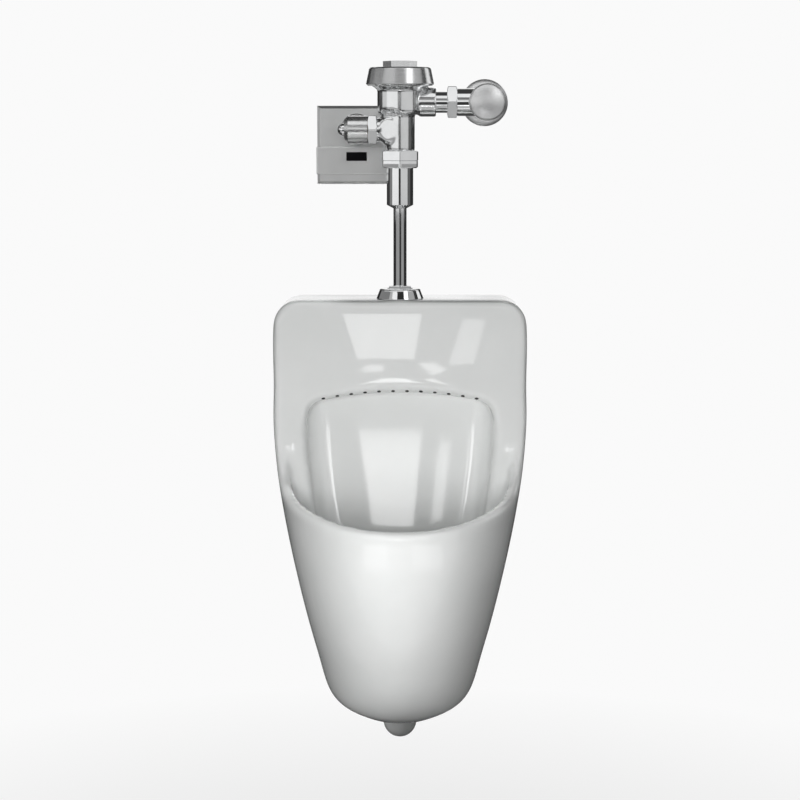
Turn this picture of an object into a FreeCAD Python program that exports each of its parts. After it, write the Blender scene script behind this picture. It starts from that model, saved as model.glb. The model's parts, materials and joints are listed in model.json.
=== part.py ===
import FreeCAD
import Part
import Sketcher
import math
import os
import re
from FreeCAD import Placement, Rotation, Vector

# Wall-hung urinal of vitreous china with a sensor-operated flush valve.
# Frame: the drain axis meets the finished wall at the origin. +Z is up, the wall is the plane Y = 0,
# the user stands on the -Y side and +X is to their right. All sizes are millimetres.

SIZES = {
    # China body
    "china_width": 364.0,
    "china_top": 540.0,
    "china_bottom": 69.0,
    "bottom_width": 190.0,
    "taper_start": 350.0,
    "panel_depth": 115.0,
    "rim_reach": 355.0,
    "rim_height": 248.0,
    "rim_slope": 7.0,
    "scoop_radius": 80.0,
    "bottom_reach": 205.0,
    "straight_share": 0.8335,
    "bottom_round_width": 80.0,
    "bottom_round_height": 40.0,
    "corner_radius": 38.0,
    "rim_wall": 17.0,
    "floor_height": 32.0,
    "recess_border": 47.0,
    "recess_depth": 50.0,
    "recess_drop": 134.0,
    "recess_arch": 560.0,
    "recess_corner": 29.0,
    "ledge_slant": 8.0,
    "rim_round": 8.0,
    # Water way of the china
    "spray_count": 12,
    "spray_pitch": 20.0,
    "spray_radius": 2.2,
    "channel_height": 14.0,
    "channel_depth": 34.0,
    "channel_rise": 8.0,
    "inlet_radius": 19.2,
    "inlet_depth": 34.0,
    "feed_radius": 11.0,
    "trap_radius": 24.0,
    "trap_bore": 16.0,
    "trap_bend": 28.0,
    "trap_dip": 78.0,
    "trap_setback": 100.0,
    "weir_bend": 20.0,
    # Back of the china
    "pocket_width": 96.0,
    "pocket_height": 82.0,
    "pocket_depth": 92.0,
    "pocket_spacing": 222.0,
    "pocket_drop": 22.0,
    "rib_height": 12.0,
    "rib_depth": 9.0,
    "rib_setback": 5.0,
    "hollow_width": 224.0,
    "hollow_height": 285.0,
    "hollow_wall": 20.0,
    "hollow_base": 80.0,
    "hanger_width": 64.0,
    "hanger_height": 66.0,
    "hanger_thickness": 4.0,
    "hanger_hole": 3.4,
    "hanger_hole_spacing": 36.0,
    # Drain
    "outlet_bore": 25.7,
    "outlet_flange_radius": 43.0,
    "outlet_flange_depth": 11.0,
    "outlet_gasket_depth": 5.0,
    "outlet_gasket_bore": 27.0,
    "outlet_gasket_radius": 31.0,
    "outlet_screw_radius": 3.0,
    "outlet_screw_pitch": 36.5,
    "outlet_screw_length": 26.0,
    "outlet_screw_head": 5.5,
    "outlet_screw_head_depth": 4.0,
    "strainer_radius": 30.0,
    "strainer_thickness": 3.0,
    "strainer_hole": 3.5,
    "strainer_hole_pitch": 10.0,
    "strainer_ring_count": 2,
    "strainer_hole_count": 6,
    # Spud and flush tube
    "spud_setback": 45.0,
    "spud_bore": 10.2,
    "spud_radius": 13.4,
    "spud_depth": 28.0,
    "spud_rise": 13.0,
    "spud_foot_radius": 18.6,
    "spud_foot": 3.0,
    "spud_gasket_rim": 24.0,
    "spud_gasket_lip": 2.0,
    "friction_ring": 1.0,
    "locknut_apothem": 21.0,
    "locknut_length": 5.0,
    "slip_gasket": 2.5,
    "spud_nut_apothem": 15.7,
    "spud_nut_lip": 2.7,
    "escutcheon_radius": 34.0,
    "escutcheon_neck": 29.6,
    "escutcheon_height": 14.0,
    "escutcheon_wall": 1.5,
    "escutcheon_round": 3.0,
    "tube_radius": 9.5,
    "tube_wall": 1.0,
    "tube_insert": 8.0,
    "breaker_radius": 19.1,
    "breaker_length": 58.0,
    "breaker_taper": 5.0,
    "collar_height": 2.0,
    "insert_length": 36.0,
    "insert_radius": 12.0,
    "insert_bore": 9.0,
    "insert_flange": 2.0,
    "sleeve_length": 24.0,
    "sleeve_wall": 1.4,
    # Valve body
    "rough_in": 280.0,
    "outlet_thread_radius": 20.5,
    "outlet_thread": 18.0,
    "outlet_way": 16.0,
    "outlet_gasket": 2.0,
    "outlet_nut_apothem": 26.0,
    "outlet_nut_lip": 3.1,
    "barrel_radius": 21.2,
    "barrel_length": 50.0,
    "cup_radius": 32.5,
    "cup_round": 6.0,
    "cup_below": 18.0,
    "cup_above": 17.0,
    "cup_floor": 7.0,
    "guide_land": 6.0,
    "guide_taper": 5.0,
    "flare_height": 6.0,
    "flange_radius": 41.0,
    "seat_level": 27.0,
    "chamber_radius": 27.5,
    "seat_outer": 15.5,
    "guide_bore": 12.0,
    "inlet_boss": 20.6,
    "inlet_reach": 51.4,
    "inlet_way": 12.4,
    "inlet_socket": 15.4,
    "port_drop": 39.0,
    "port_thread_radius": 17.0,
    "port_reach": 39.0,
    "port_bulb_foot": 9.5,
    "port_bulb_reach": 28.0,
    "port_bulb_round": 15.0,
    "port_way": 9.5,
    "plunger_hole": 5.2,
    # Diaphragm group and covers
    "diaphragm_thickness": 3.0,
    "guide_drop": 14.0,
    "guide_way": 6.5,
    "guide_disc_radius": 19.0,
    "guide_disc": 2.5,
    "relief_head_radius": 9.0,
    "relief_head": 2.5,
    "relief_stem": 2.5,
    "relief_reach": 45.0,
    "inside_cover_height": 15.0,
    "inside_cover_wall": 3.0,
    "inside_cover_rim": 7.0,
    "inside_cover_bevel": 3.0,
    "cover_skirt": 23.0,
    "cover_radius": 48.7,
    "cover_top_radius": 44.2,
    "cover_top_wall": 3.8,
    "cover_bevel": 2.5,
    "cover_edge": 2.0,
    "cover_hex_apothem": 21.2,
    "cover_hex_height": 8.8,
    # Solenoid
    "solenoid_radius": 20.0,
    "solenoid_length": 33.0,
    "solenoid_wall": 2.0,
    "solenoid_end": 3.0,
    "solenoid_chamfer": 5.0,
    "solenoid_nut_apothem": 20.2,
    "solenoid_nut_start": 33.0,
    "solenoid_nut_lip": 2.9,
    "base_flange": 3.0,
    "base_flange_radius": 16.5,
    "base_neck_radius": 13.8,
    "base_disc": 3.0,
    "port_gasket": 1.0,
    "guide_tube_radius": 8.0,
    "coil_length": 17.2,
    "coil_room": 1.0,
    "plunger_radius": 4.5,
    "plunger_collar": 8.0,
    "plunger_collar_width": 2.7,
    "plunger_collar_reach": 34.3,
    "spring_wire": 1.1,
    "spring_turns": 5,
    "button_radius": 9.3,
    "button_flange": 3.6,
    "button_flange_lip": 2.0,
    "button_proud": 10.0,
    "button_dome_spare": 0.3,
    "conduit_offset": 63.3,
    "conduit_radius": 8.0,
    "conduit_bore": 6.0,
    "conduit_collar_radius": 23.4,
    "conduit_collar_depth": 4.0,
    "lead_radius": 3.0,
    # Sensor plate
    "plate_width": 115.0,
    "plate_height": 113.4,
    "plate_depth": 10.0,
    "plate_bevel": 4.0,
    "plate_wall": 2.0,
    "plate_drop": 61.2,
    "band_height": 40.0,
    "band_overhang": 1.0,
    "band_depth": 6.5,
    "band_drop": 83.8,
    "band_wall": 2.0,
    "band_edge": 1.5,
    "window_width": 29.6,
    "window_height": 12.4,
    "window_proud": 0.5,
    "window_rise": 6.0,
    "window_depth": 2.2,
    "module_width": 80.0,
    "module_height": 27.0,
    "module_depth": 11.0,
    "frame_border": 9.0,
    "frame_depth": 3.0,
    "plate_screw_radius": 2.0,
    "plate_screw_spacing": 84.0,
    # Tailpiece and control stop
    "tail_radius": 15.1,
    "tail_bore": 11.0,
    "tail_nose_radius": 13.6,
    "tail_nose": 21.0,
    "tail_shoulder": 74.0,
    "ring_wire": 0.82,
    "ring_setback": 9.0,
    "lock_ring": 2.2,
    "lock_ring_radius": 18.3,
    "tail_nut_start": 67.1,
    "tail_nut_length": 14.3,
    "tail_nut_lip": 4.4,
    "tail_nut_apothem": 22.3,
    "neck_thread_radius": 18.8,
    "neck_radius": 19.6,
    "stop_offset": 123.5,
    "stop_radius": 22.5,
    "stop_length": 55.0,
    "stop_back": 28.0,
    "stop_hub_radius": 18.0,
    "stop_hub": 10.0,
    "stop_hub_flare": 4.0,
    "stop_chamfer": 2.0,
    "stop_chamber": 15.0,
    "socket_radius": 11.15,
    "socket_depth": 16.0,
    "stop_orifice": 9.0,
    "stop_orifice_depth": 4.0,
    "bonnet_thread": 7.0,
    "bonnet_radius": 21.5,
    "bonnet_flange": 5.0,
    "bonnet_washer": 1.6,
    "screw_radius": 4.5,
    "screw_thread_radius": 3.5,
    "screw_collar_radius": 8.0,
    "screw_collar": 2.5,
    "screw_head_radius": 8.0,
    "screw_head": 3.5,
    "screw_slot": 1.6,
    "screw_end": 2.0,
    "piston_radius": 12.0,
    "piston_length": 9.0,
    "seat_washer_radius": 11.5,
    "seat_washer": 2.5,
    "cap_radius": 26.0,
    "cap_face_radius": 23.6,
    "cap_bevel": 2.4,
    "cap_dome": 5.0,
    "cap_wall": 2.6,
    "cap_sleeve_wall": 1.6,
    "supply_tube_radius": 16.0,
    "supply_tube_bore": 14.3,
    "supply_flange_radius": 34.0,
    "supply_flange_depth": 9.0,
    "supply_flange_edge": 2.0,
    "supply_flange_round": 18.0,
    "supply_boss_radius": 20.0,
    "supply_boss": 15.0,
    "set_screw_radius": 1.6,
    # Clearances
    "slip": 0.1,
    "gap": 0.3,
}

HEX_CORNER = 2.0 / math.sqrt(3.0)
EXPRESSION_WORDS = {"deg", "sin", "cos", "tan", "sqrt"}
UP = Rotation()
RIGHT = Rotation(Vector(0, 1, 0), 90)
LEFT = Rotation(Vector(0, 1, 0), -90)
FRONT = Rotation(Vector(1, 0, 0), 90)
BACK = Rotation(Vector(1, 0, 0), -90)
DOWN = Rotation(Vector(1, 0, 0), 180)
CORNER_TO_FRONT = 30.0
NUT_SPARE = 0.2
NUT_BEVEL = 0.12
NUT_DROP = 0.08
OVERCUT = 1.0
HOOK_SHARE = 0.7
INSET_SHARE = 0.6
LEAD_BEND = 1.5
TOLERANCE = 0.01
EIGHTH_TURN = 1 - math.sqrt(0.5)

doc = FreeCAD.newDocument("urinal")
sheet = doc.addObject("Spreadsheet::Sheet", "dims")
for row, (alias, value) in enumerate(SIZES.items(), start=1):
    sheet.set(f"A{row}", alias)
    sheet.set(f"B{row}", str(value))
    sheet.setAlias(f"B{row}", alias)
doc.recompute()

nodes = []


def bind(text):
    """Turn an expression in plain size names into one that reads the sheet."""
    def named(match):
        word = match.group(0)
        return word if word in EXPRESSION_WORDS else "dims." + word
    return re.sub(r"[a-z_]{2,}", named, text)


def num(text):
    """Value of an expression in plain size names."""
    return float(sheet.evalExpression(bind(text)))


def tie(obj, prop, text):
    obj.setExpression(prop, bind(text))


def place(obj, at, turn=UP, spin=0.0):
    x, y, z = at
    turn = turn * Rotation(Vector(0, 0, 1), spin)
    obj.Placement = Placement(Vector(num(x), num(y), num(z)), turn)
    for axis, text in (("x", x), ("y", y), ("z", z)):
        tie(obj, "Placement.Base." + axis, text)
    return obj


def node(obj, label):
    """Name a finished sub-part and list it for export."""
    obj.Label = label
    nodes.append(obj)
    return obj


def origin_plane(body, role):
    return next(item for item in body.Origin.OriginFeatures if item.Role == role)


def arc_between(start, end, radius):
    """Minor arc of the given radius whose centre lies left of the way from start to end."""
    way = end - start
    left = Vector(-way.y, way.x, 0).normalize()
    rise = math.sqrt(radius ** 2 - (way.Length / 2) ** 2)
    centre = (start + end) * 0.5 + left * rise
    middle = centre - left * radius
    return Part.Arc(start, middle, end)


def turned(name, profile, at, turn=UP):
    """Body turned about its own Z axis from corner points (radius, height[, arc radius to the next])."""
    body = doc.addObject("PartDesign::Body", name)
    sketch = body.newObject("Sketcher::SketchObject", name + "_profile")
    sketch.AttachmentSupport = [(origin_plane(body, "XZ_Plane"), "")]
    sketch.MapMode = "FlatFace"
    corners = [Vector(num(corner[0]), num(corner[1]), 0) for corner in profile]
    first_end = []
    for index, corner in enumerate(profile):
        start = corners[index]
        end = corners[(index + 1) % len(corners)]
        if len(corner) > 2:
            sketch.addGeometry(arc_between(start, end, num(corner[2])), False)
        else:
            sketch.addGeometry(Part.LineSegment(start, end), False)
        begins_here = sketch.Geometry[index].StartPoint.distanceToPoint(start) < 1e-4
        first_end.append(1 if begins_here else 2)
    bound = []
    for index, corner in enumerate(profile):
        following = (index + 1) % len(profile)
        sketch.addConstraint(Sketcher.Constraint(
            "Coincident", index, 3 - first_end[index], following, first_end[following]))
        for kind, axis, text, place_now in (("DistanceX", -2, corner[0], corners[index].x),
                                            ("DistanceY", -1, corner[1], corners[index].y)):
            if text == "0":
                sketch.addConstraint(Sketcher.Constraint("PointOnObject", index, first_end[index], axis))
                continue
            number = sketch.addConstraint(Sketcher.Constraint(
                kind, -1, 1, index, first_end[index], place_now))
            bound.append((number, text))
        if len(corner) > 2:
            number = sketch.addConstraint(Sketcher.Constraint("Radius", index, num(corner[2])))
            bound.append((number, corner[2]))
    for number, text in bound:
        tie(sketch, f"Constraints[{number}]", text)
    revolution = body.newObject("PartDesign::Revolution", name + "_turn")
    revolution.Profile = sketch
    revolution.ReferenceAxis = (sketch, ["V_Axis"])
    revolution.Angle = 360.0
    return place(body, at, turn)


def tube(bore, radius, length):
    """Profile of a plain ring or tube that starts at height zero."""
    return [(bore, "0"), (radius, "0"), (radius, length), (bore, length)]


def cylinder(name, radius, length, at, turn=UP):
    solid = doc.addObject("Part::Cylinder", name)
    tie(solid, "Radius", radius)
    tie(solid, "Height", length)
    return place(solid, at, turn)


def ring(name, mean_radius, wire_radius, at, turn=UP):
    solid = doc.addObject("Part::Torus", name)
    tie(solid, "Radius1", mean_radius)
    tie(solid, "Radius2", wire_radius)
    return place(solid, at, turn)


def box(name, width, depth, height, at):
    """Block centred on X, running from its base height up and from its back towards the user."""
    x, y, z = at
    solid = doc.addObject("Part::Box", name)
    tie(solid, "Length", width)
    tie(solid, "Width", depth)
    tie(solid, "Height", height)
    return place(solid, (f"{x} - ({width}) / 2", f"{y} - ({depth})", z))


def hexagon(name, apothem, length, at, turn=UP, spin=CORNER_TO_FRONT):
    solid = doc.addObject("Part::Prism", name)
    solid.Polygon = 6
    tie(solid, "Circumradius", f"({apothem}) * {HEX_CORNER:.7f}")
    tie(solid, "Height", length)
    return place(solid, at, turn, spin)


def fuse(name, *solids):
    joined = doc.addObject("Part::MultiFuse", name)
    joined.Shapes = list(solids)
    return joined


def cut(name, base, *tools):
    result = doc.addObject("Part::Cut", name)
    result.Base = base
    result.Tool = tools[0] if len(tools) == 1 else fuse(name + "_tools", *tools)
    return result


def common(name, first, second):
    result = doc.addObject("Part::Common", name)
    result.Base = first
    result.Tool = second
    return result


def nut(name, apothem, length, bore, lip, lip_bore, at, turn=UP):
    """Coupling nut: hexagon with turned chamfers, threaded bore and a lip at its far end."""
    crown = f"(({apothem}) * {HEX_CORNER:.7f} + {NUT_SPARE})"
    bevel = f"(({apothem}) * {NUT_BEVEL})"
    drop = f"(({apothem}) * {NUT_DROP})"
    envelope = turned(name + "_envelope", [
        (bore, "0"),
        (f"{crown} - {bevel}", "0"),
        (crown, drop),
        (crown, f"{length} - {drop}"),
        (f"{crown} - {bevel}", length),
        (lip_bore, length),
        (lip_bore, f"{length} - {lip}"),
        (bore, f"{length} - {lip}"),
    ], at, turn)
    return node(common(name + "_form", hexagon(name + "_hexagon", apothem, length, at, turn), envelope), name)


def feature(name, shape):
    """Sub-part whose curved form is worked out below from the sheet's sizes."""
    solid = doc.addObject("Part::Feature", name)
    solid.Shape = shape
    solid.Placement = Placement()
    return solid


# China body

SECTION_STEPS = 12
DOME_ANGLES = (15, 30, 45, 60, 75)
SIDE_POWER = 1.4
FRONT_POWER = 2.2
ELLIPSE_WEIGHT = math.sqrt(0.5)
FLOOR_THICKENING = 0.6


def side_half(z):
    """Half width of the china at a height, before the bottom rounds in."""
    share = (num("taper_start") - z) / num("taper_start + china_bottom")
    half = num("china_width") / 2
    return half - (half - num("bottom_width") / 2) * max(share, 0.0) ** SIDE_POWER


def front_reach(z):
    """How far the china stands from the wall at a height, before the bottom rounds in."""
    share = (num("rim_height") - z) / num("rim_height + china_bottom")
    reach = num("rim_reach")
    return reach - (reach - num("bottom_reach")) * max(share, 0.0) ** FRONT_POWER


def half_ellipse(half, straight, reach, z):
    """Front of a section, from the right side round the front to the left side."""
    poles = [Vector(half, -straight, z), Vector(half, -reach, z), Vector(0, -reach, z),
             Vector(-half, -reach, z), Vector(-half, -straight, z)]
    weights = [1, ELLIPSE_WEIGHT, 1, ELLIPSE_WEIGHT, 1]
    curve = Part.BSplineCurve()
    curve.buildFromPolesMultsKnots(poles, [3, 2, 3], [0, 1, 2], False, 2, weights)
    return curve.toShape()


def d_section(z, half, reach, back):
    """Horizontal section with a flat back, straight sides and a half-elliptic front."""
    straight = max(num("panel_depth * straight_share / rim_reach") * reach, back + OVERCUT)
    right_back = Vector(half, -back, z)
    left_back = Vector(-half, -back, z)
    right = Part.LineSegment(right_back, Vector(half, -straight, z)).toShape()
    front = half_ellipse(half, straight, reach, z)
    left = Part.LineSegment(Vector(-half, -straight, z), left_back).toShape()
    rear = Part.LineSegment(left_back, right_back).toShape()
    return Part.Wire([right, front, left, rear])


def china_outside():
    top = num("china_top")
    dome_height = num("bottom_round_height")
    dome_width = num("bottom_round_width")
    dome_start = dome_height - num("china_bottom")
    step = (top - dome_start) / SECTION_STEPS
    sections = []
    for index in range(SECTION_STEPS + 1):
        z = top - step * index
        sections.append(d_section(z, side_half(z), front_reach(z), -OVERCUT))
    for angle in DOME_ANGLES:
        z = dome_start - dome_height * math.sin(math.radians(angle))
        draw_in = dome_width * (1 - math.cos(math.radians(angle)))
        sections.append(d_section(z, side_half(z) - draw_in, front_reach(z) - draw_in, -OVERCUT))
    width = num("china_width")
    reach = num("rim_reach")
    corner = Vector(-width, -reach * 2, -num("china_bottom") - OVERCUT)
    before_wall = Part.makeBox(width * 2, reach * 2, top + num("china_bottom") + OVERCUT * 2, corner)
    solid = Part.makeLoft(sections, True).common(before_wall)
    upper_sides = [edge for edge in solid.Edges
                   if abs(edge.CenterOfMass.z - top) < TOLERANCE
                   and abs(abs(edge.CenterOfMass.x) - num("china_width") / 2) < TOLERANCE]
    return solid.makeFillet(num("corner_radius"), upper_sides)


def scoop():
    """Room in front of the panel and above the rim, as seen from the side."""
    panel = -num("panel_depth")
    radius = num("scoop_radius")
    slope = math.radians(num("rim_slope"))
    over = num("china_top") + num("rim_wall")
    ahead = -num("rim_reach") - num("rim_wall") * 2

    def rim_line(y):
        return num("rim_height") + (num("rim_reach") + y) * math.tan(slope)

    centre = Vector(0, panel - radius, rim_line(panel - radius) + radius / math.cos(slope))
    foot = centre + Vector(0, math.sin(slope), -math.cos(slope)) * radius
    turn = (math.pi / 2 - slope) / 2
    middle = centre + Vector(0, math.cos(turn), -math.sin(turn)) * radius
    head = Vector(0, panel, centre.z)
    corners = [head, Vector(0, panel, over), Vector(0, ahead, over), Vector(0, ahead, rim_line(ahead)), foot]
    edges = [Part.LineSegment(a, b).toShape() for a, b in zip(corners, corners[1:])]
    edges.append(Part.Arc(foot, middle, head).toShape())
    width = num("china_width") * 2
    profile = Part.Face(Part.Wire(edges))
    return profile.extrude(Vector(width, 0, 0)).translated(Vector(-width / 2, 0, 0)), centre.z


def inner_wall(z):
    """Wall of the bowl at a height: the rim's at the top, thicker towards the floor."""
    share = (num("rim_height") - z) / num("rim_height + floor_height")
    return num("rim_wall") * (1 + FLOOR_THICKENING * min(max(share, 0.0), 1.0))


def bowl_room(top):
    floor = -num("floor_height")
    step = (top - floor) / SECTION_STEPS
    sections = []
    for index in range(SECTION_STEPS + 1):
        z = top - step * index
        wall = inner_wall(z)
        sections.append(d_section(z, side_half(z) - wall, front_reach(z) - wall, num("panel_depth") / 4))
    room = Part.makeLoft(sections, True)
    reach = num("rim_reach")
    width = num("china_width")
    corner = Vector(-width / 2, -num("panel_depth") - reach, floor - OVERCUT)
    front = Part.makeBox(width, reach, top - floor + OVERCUT * 2, corner)
    return room.common(front)


def recess_half(z):
    share = (side_half(z) - inner_wall(z)) / (num("china_width") / 2 - num("rim_wall"))
    return num("china_width / 2 - recess_border") * share


def recess_section(z):
    half = recess_half(z)
    corner = min(num("recess_corner"), half / 2)
    back = num("recess_depth") - num("panel_depth")
    front = -num("panel_depth") - num("rim_wall")
    bend = corner * EIGHTH_TURN
    right = Part.LineSegment(Vector(half, front, z), Vector(half, back - corner, z))
    right_corner = Part.Arc(Vector(half, back - corner, z), Vector(half - bend, back - bend, z),
                            Vector(half - corner, back, z))
    rear = Part.LineSegment(Vector(half - corner, back, z), Vector(corner - half, back, z))
    left_corner = Part.Arc(Vector(corner - half, back, z), Vector(bend - half, back - bend, z),
                           Vector(-half, back - corner, z))
    left = Part.LineSegment(Vector(-half, back - corner, z), Vector(-half, front, z))
    opening = Part.LineSegment(Vector(-half, front, z), Vector(half, front, z))
    return Part.Wire([part.toShape() for part in (right, right_corner, rear, left_corner, left, opening)])


def arch_outline(y, spread):
    """Front outline of the recess at a depth: arched top with round corners, open far below."""
    half = num("china_width / 2 - recess_border") + spread
    radius = num("recess_arch") + spread
    corner = num("recess_corner") + spread
    crown = num("china_top") - num("recess_drop") + spread
    centre = crown - radius
    corner_z = centre + math.sqrt((radius - corner) ** 2 - (half - corner) ** 2)
    meet = Vector(half - corner, 0, corner_z - centre).normalize() * radius
    lean = math.atan2(meet.z, meet.x) / 2
    bend = Vector(half - corner + corner * math.cos(lean), y, corner_z + corner * math.sin(lean))
    foot = -num("floor_height") - OVERCUT
    right_low = Vector(half, y, foot)
    left_low = Vector(-half, y, foot)
    right_up = Vector(half, y, corner_z)
    left_up = Vector(-half, y, corner_z)
    right_meet = Vector(meet.x, y, centre + meet.z)
    left_meet = Vector(-meet.x, y, centre + meet.z)
    edges = [
        Part.LineSegment(right_low, right_up),
        Part.Arc(right_up, bend, right_meet),
        Part.Arc(right_meet, Vector(0, y, crown), left_meet),
        Part.Arc(left_meet, Vector(-bend.x, y, bend.z), left_up),
        Part.LineSegment(left_up, left_low),
        Part.LineSegment(left_low, right_low),
    ]
    return Part.Wire([edge.toShape() for edge in edges])


def recess_room():
    """Recess behind the panel, with the slanted spray ledge along its arched top."""
    top = num("china_top - recess_drop + recess_corner")
    floor = -num("floor_height")
    step = (top - floor) / SECTION_STEPS
    sections = [recess_section(top - step * index) for index in range(SECTION_STEPS + 1)]
    panel = -num("panel_depth")
    outline = Part.Face(arch_outline(panel - num("rim_wall") * 2, 0))
    under_arch = outline.extrude(Vector(0, num("panel_depth") + num("rim_wall") * 2, 0))
    room = Part.makeLoft(sections, True).common(under_arch)
    slant = num("ledge_slant")
    mouth = Part.makeLoft([arch_outline(panel + slant, 0), arch_outline(panel, slant)], True, True)
    low = num("china_top - recess_drop - recess_corner")
    width = num("china_width")
    upper = Part.makeBox(width, num("panel_depth"), num("recess_drop"), Vector(-width / 2, panel, low))
    return room.fuse(mouth.common(upper))


def pipe(points, radius):
    """Round bar along a path given as edges in order."""
    path = Part.Wire([edge.toShape() for edge in points])
    start = path.Edges[0]
    way = start.tangentAt(start.FirstParameter)
    end = Part.Wire([Part.makeCircle(radius, start.valueAt(start.FirstParameter), way)])
    return path.makePipeShell([end], True, False)


def trap_path(start_z):
    """Centre line of the trap in the plane X = 0, from the drain to the rear leg."""
    bend = num("trap_bend")
    front = -num("trap_setback") - bend
    rear = -num("trap_setback") + bend
    low = bend - num("trap_dip")
    down = Part.LineSegment(Vector(0, front, start_z), Vector(0, front, low))
    around = Part.Arc(Vector(0, front, low), Vector(0, (front + rear) / 2, low - bend), Vector(0, rear, low))
    return down, around, rear, low


def trap_outside():
    down, around, rear, low = trap_path(-num("floor_height") - num("rim_wall") / 2)
    up = Part.LineSegment(Vector(0, rear, low), Vector(0, rear, low + num("rim_wall") / 2))
    return pipe([down, around, up], num("trap_radius"))


def trap_passage():
    down, around, rear, low = trap_path(OVERCUT - num("floor_height"))
    bend = num("weir_bend")
    lean = bend * EIGHTH_TURN
    up = Part.LineSegment(Vector(0, rear, low), Vector(0, rear, -bend))
    over = Part.Arc(Vector(0, rear, -bend), Vector(0, rear + lean, -lean), Vector(0, rear + bend, 0))
    out = Part.LineSegment(Vector(0, rear + bend, 0), Vector(0, 0, 0))
    return pipe([down, around, up, over, out], num("trap_bore"))


def flush_way():
    """Spud bore, feed, distribution channel and the row of spray holes in the slanted ledge."""
    top = num("china_top")
    panel = -num("panel_depth")
    spud_y = num("spud_setback") + panel
    inlet_foot = Vector(0, spud_y, top - num("inlet_depth"))
    rods = [Part.makeCylinder(num("inlet_radius"), num("inlet_depth"), inlet_foot)]
    pitch = num("spray_pitch")
    count = int(num("spray_count"))
    slant = num("ledge_slant")
    channel_z = top - num("recess_drop") + num("channel_rise")
    channel_front = panel + slant + num("spray_radius") * 2
    length = pitch * count
    rods.append(Part.makeBox(length, num("channel_depth"), num("channel_height"),
                             Vector(-length / 2, channel_front, channel_z)))
    rods.append(Part.makeCylinder(num("feed_radius"), top - channel_z, Vector(0, spud_y, channel_z)))
    arch = num("recess_arch")
    for index in range(count):
        x = pitch * (index - (count - 1) / 2)
        drop = arch - math.sqrt(arch ** 2 - x ** 2)
        mouth = Vector(x, panel + slant / 2, top - num("recess_drop") + slant / 2 - drop)
        way = Vector(0, 1, 1).normalize()
        reach = (channel_z + num("channel_height") / 2 - mouth.z) * math.sqrt(2)
        rods.append(Part.makeCylinder(num("spray_radius"), reach + slant, mouth - way * slant, way))
    return rods


def back_rooms():
    """Hanger pockets with their hooking ribs, the hollow behind the recess and the outlet seat."""
    top = num("china_top")
    width = num("pocket_width")
    height = num("pocket_height")
    depth = num("pocket_depth")
    roof = top - num("pocket_drop")
    rooms = []
    for side in (-1, 1):
        x = side * num("pocket_spacing") / 2 - width / 2
        pocket = Part.makeBox(width, depth, height, Vector(x, -depth, roof - height))
        rib = Part.makeBox(width, num("rib_depth"), num("rib_height"),
                           Vector(x, -num("rib_setback + rib_depth"), roof - num("rib_height")))
        rooms.append(pocket.cut(rib))
    hollow_width = num("hollow_width")
    hollow_depth = num("panel_depth - recess_depth - hollow_wall")
    rooms.append(Part.makeBox(hollow_width, hollow_depth, num("hollow_height"),
                              Vector(-hollow_width / 2, -hollow_depth, num("hollow_base"))))
    seat_depth = num("outlet_flange_depth + outlet_gasket_depth")
    toward_user = Vector(0, -1, 0)
    rooms.append(Part.makeCylinder(num("outlet_flange_radius + gap"), seat_depth, Vector(), toward_user))
    for side in (-1, 1):
        foot = Vector(side * num("outlet_screw_pitch"), 0, 0)
        rooms.append(Part.makeCylinder(num("outlet_screw_radius + slip"), num("outlet_screw_length") + OVERCUT,
                                       foot, toward_user))
    return rooms


def rim_edges(china):
    """Outer edge of the panel, the scooped sides and the rim."""
    half = num("china_width") / 2
    panel = -num("panel_depth")
    found = []
    for edge in china.Edges:
        middle = edge.valueAt((edge.FirstParameter + edge.LastParameter) / 2)
        near_side = abs(abs(middle.x) - side_half(middle.z)) < num("rim_wall") / 2
        on_panel = abs(middle.y - panel) < TOLERANCE and middle.z > num("rim_height")
        at_lip = abs(middle.x) < 1 and abs(middle.y + num("rim_reach")) < num("rim_wall") / 2
        on_top = on_panel and middle.z > num("china_top - corner_radius")
        if (on_panel and near_side) or at_lip or on_top:
            found.append(edge)
    return found


def china_body():
    scoop_room, scoop_head = scoop()
    room = scoop_room.fuse([bowl_room(scoop_head + num("rim_wall")), recess_room()])
    shell = china_outside().cut(room).removeSplitter()
    shell = shell.makeFillet(num("rim_round"), rim_edges(shell))
    shell = shell.fuse(trap_outside())
    return shell.cut([trap_passage()] + flush_way() + back_rooms())


node(feature("china_form", china_body()), "china_body")


# Places shared by the pieces below

VALVE_Y = "(spud_setback - panel_depth)"
SUPPLY_Z = "(china_top + rough_in)"
BODY_LOW = "(cup_below + barrel_length + outlet_thread)"
PORT_Z = f"({SUPPLY_Z} - port_drop)"
STOP_Y = f"({VALVE_Y} + stop_back)"
PLATE_X = "-conduit_offset"


def up_from_top(height):
    """Place on the valve's upright axis, at a height above the china's top."""
    return ("0", VALVE_Y, f"china_top + ({height})")


def up_from_supply(height):
    return ("0", VALVE_Y, f"{SUPPLY_Z} + ({height})")


def along_port(distance):
    """Place on the solenoid's axis, at a distance left of the valve's axis."""
    return (f"-({distance})", VALVE_Y, PORT_Z)


def along_supply(distance):
    """Place on the inlet's axis, at a distance right of the valve's axis."""
    return (distance, VALVE_Y, SUPPLY_Z)


def along_stop(distance):
    """Place on the control stop's axis, at a distance in front of its back face."""
    return ("stop_offset", f"{STOP_Y} - ({distance})", SUPPLY_Z)


# Wall hangers

HANGER_SHELF = "(china_top - pocket_drop - rib_height - gap)"
HANGER_LIP_Y = "-(rib_setback + rib_depth + gap)"
HANGER_BASE = f"({HANGER_SHELF} - hanger_height + rib_height * {HOOK_SHARE})"


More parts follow.
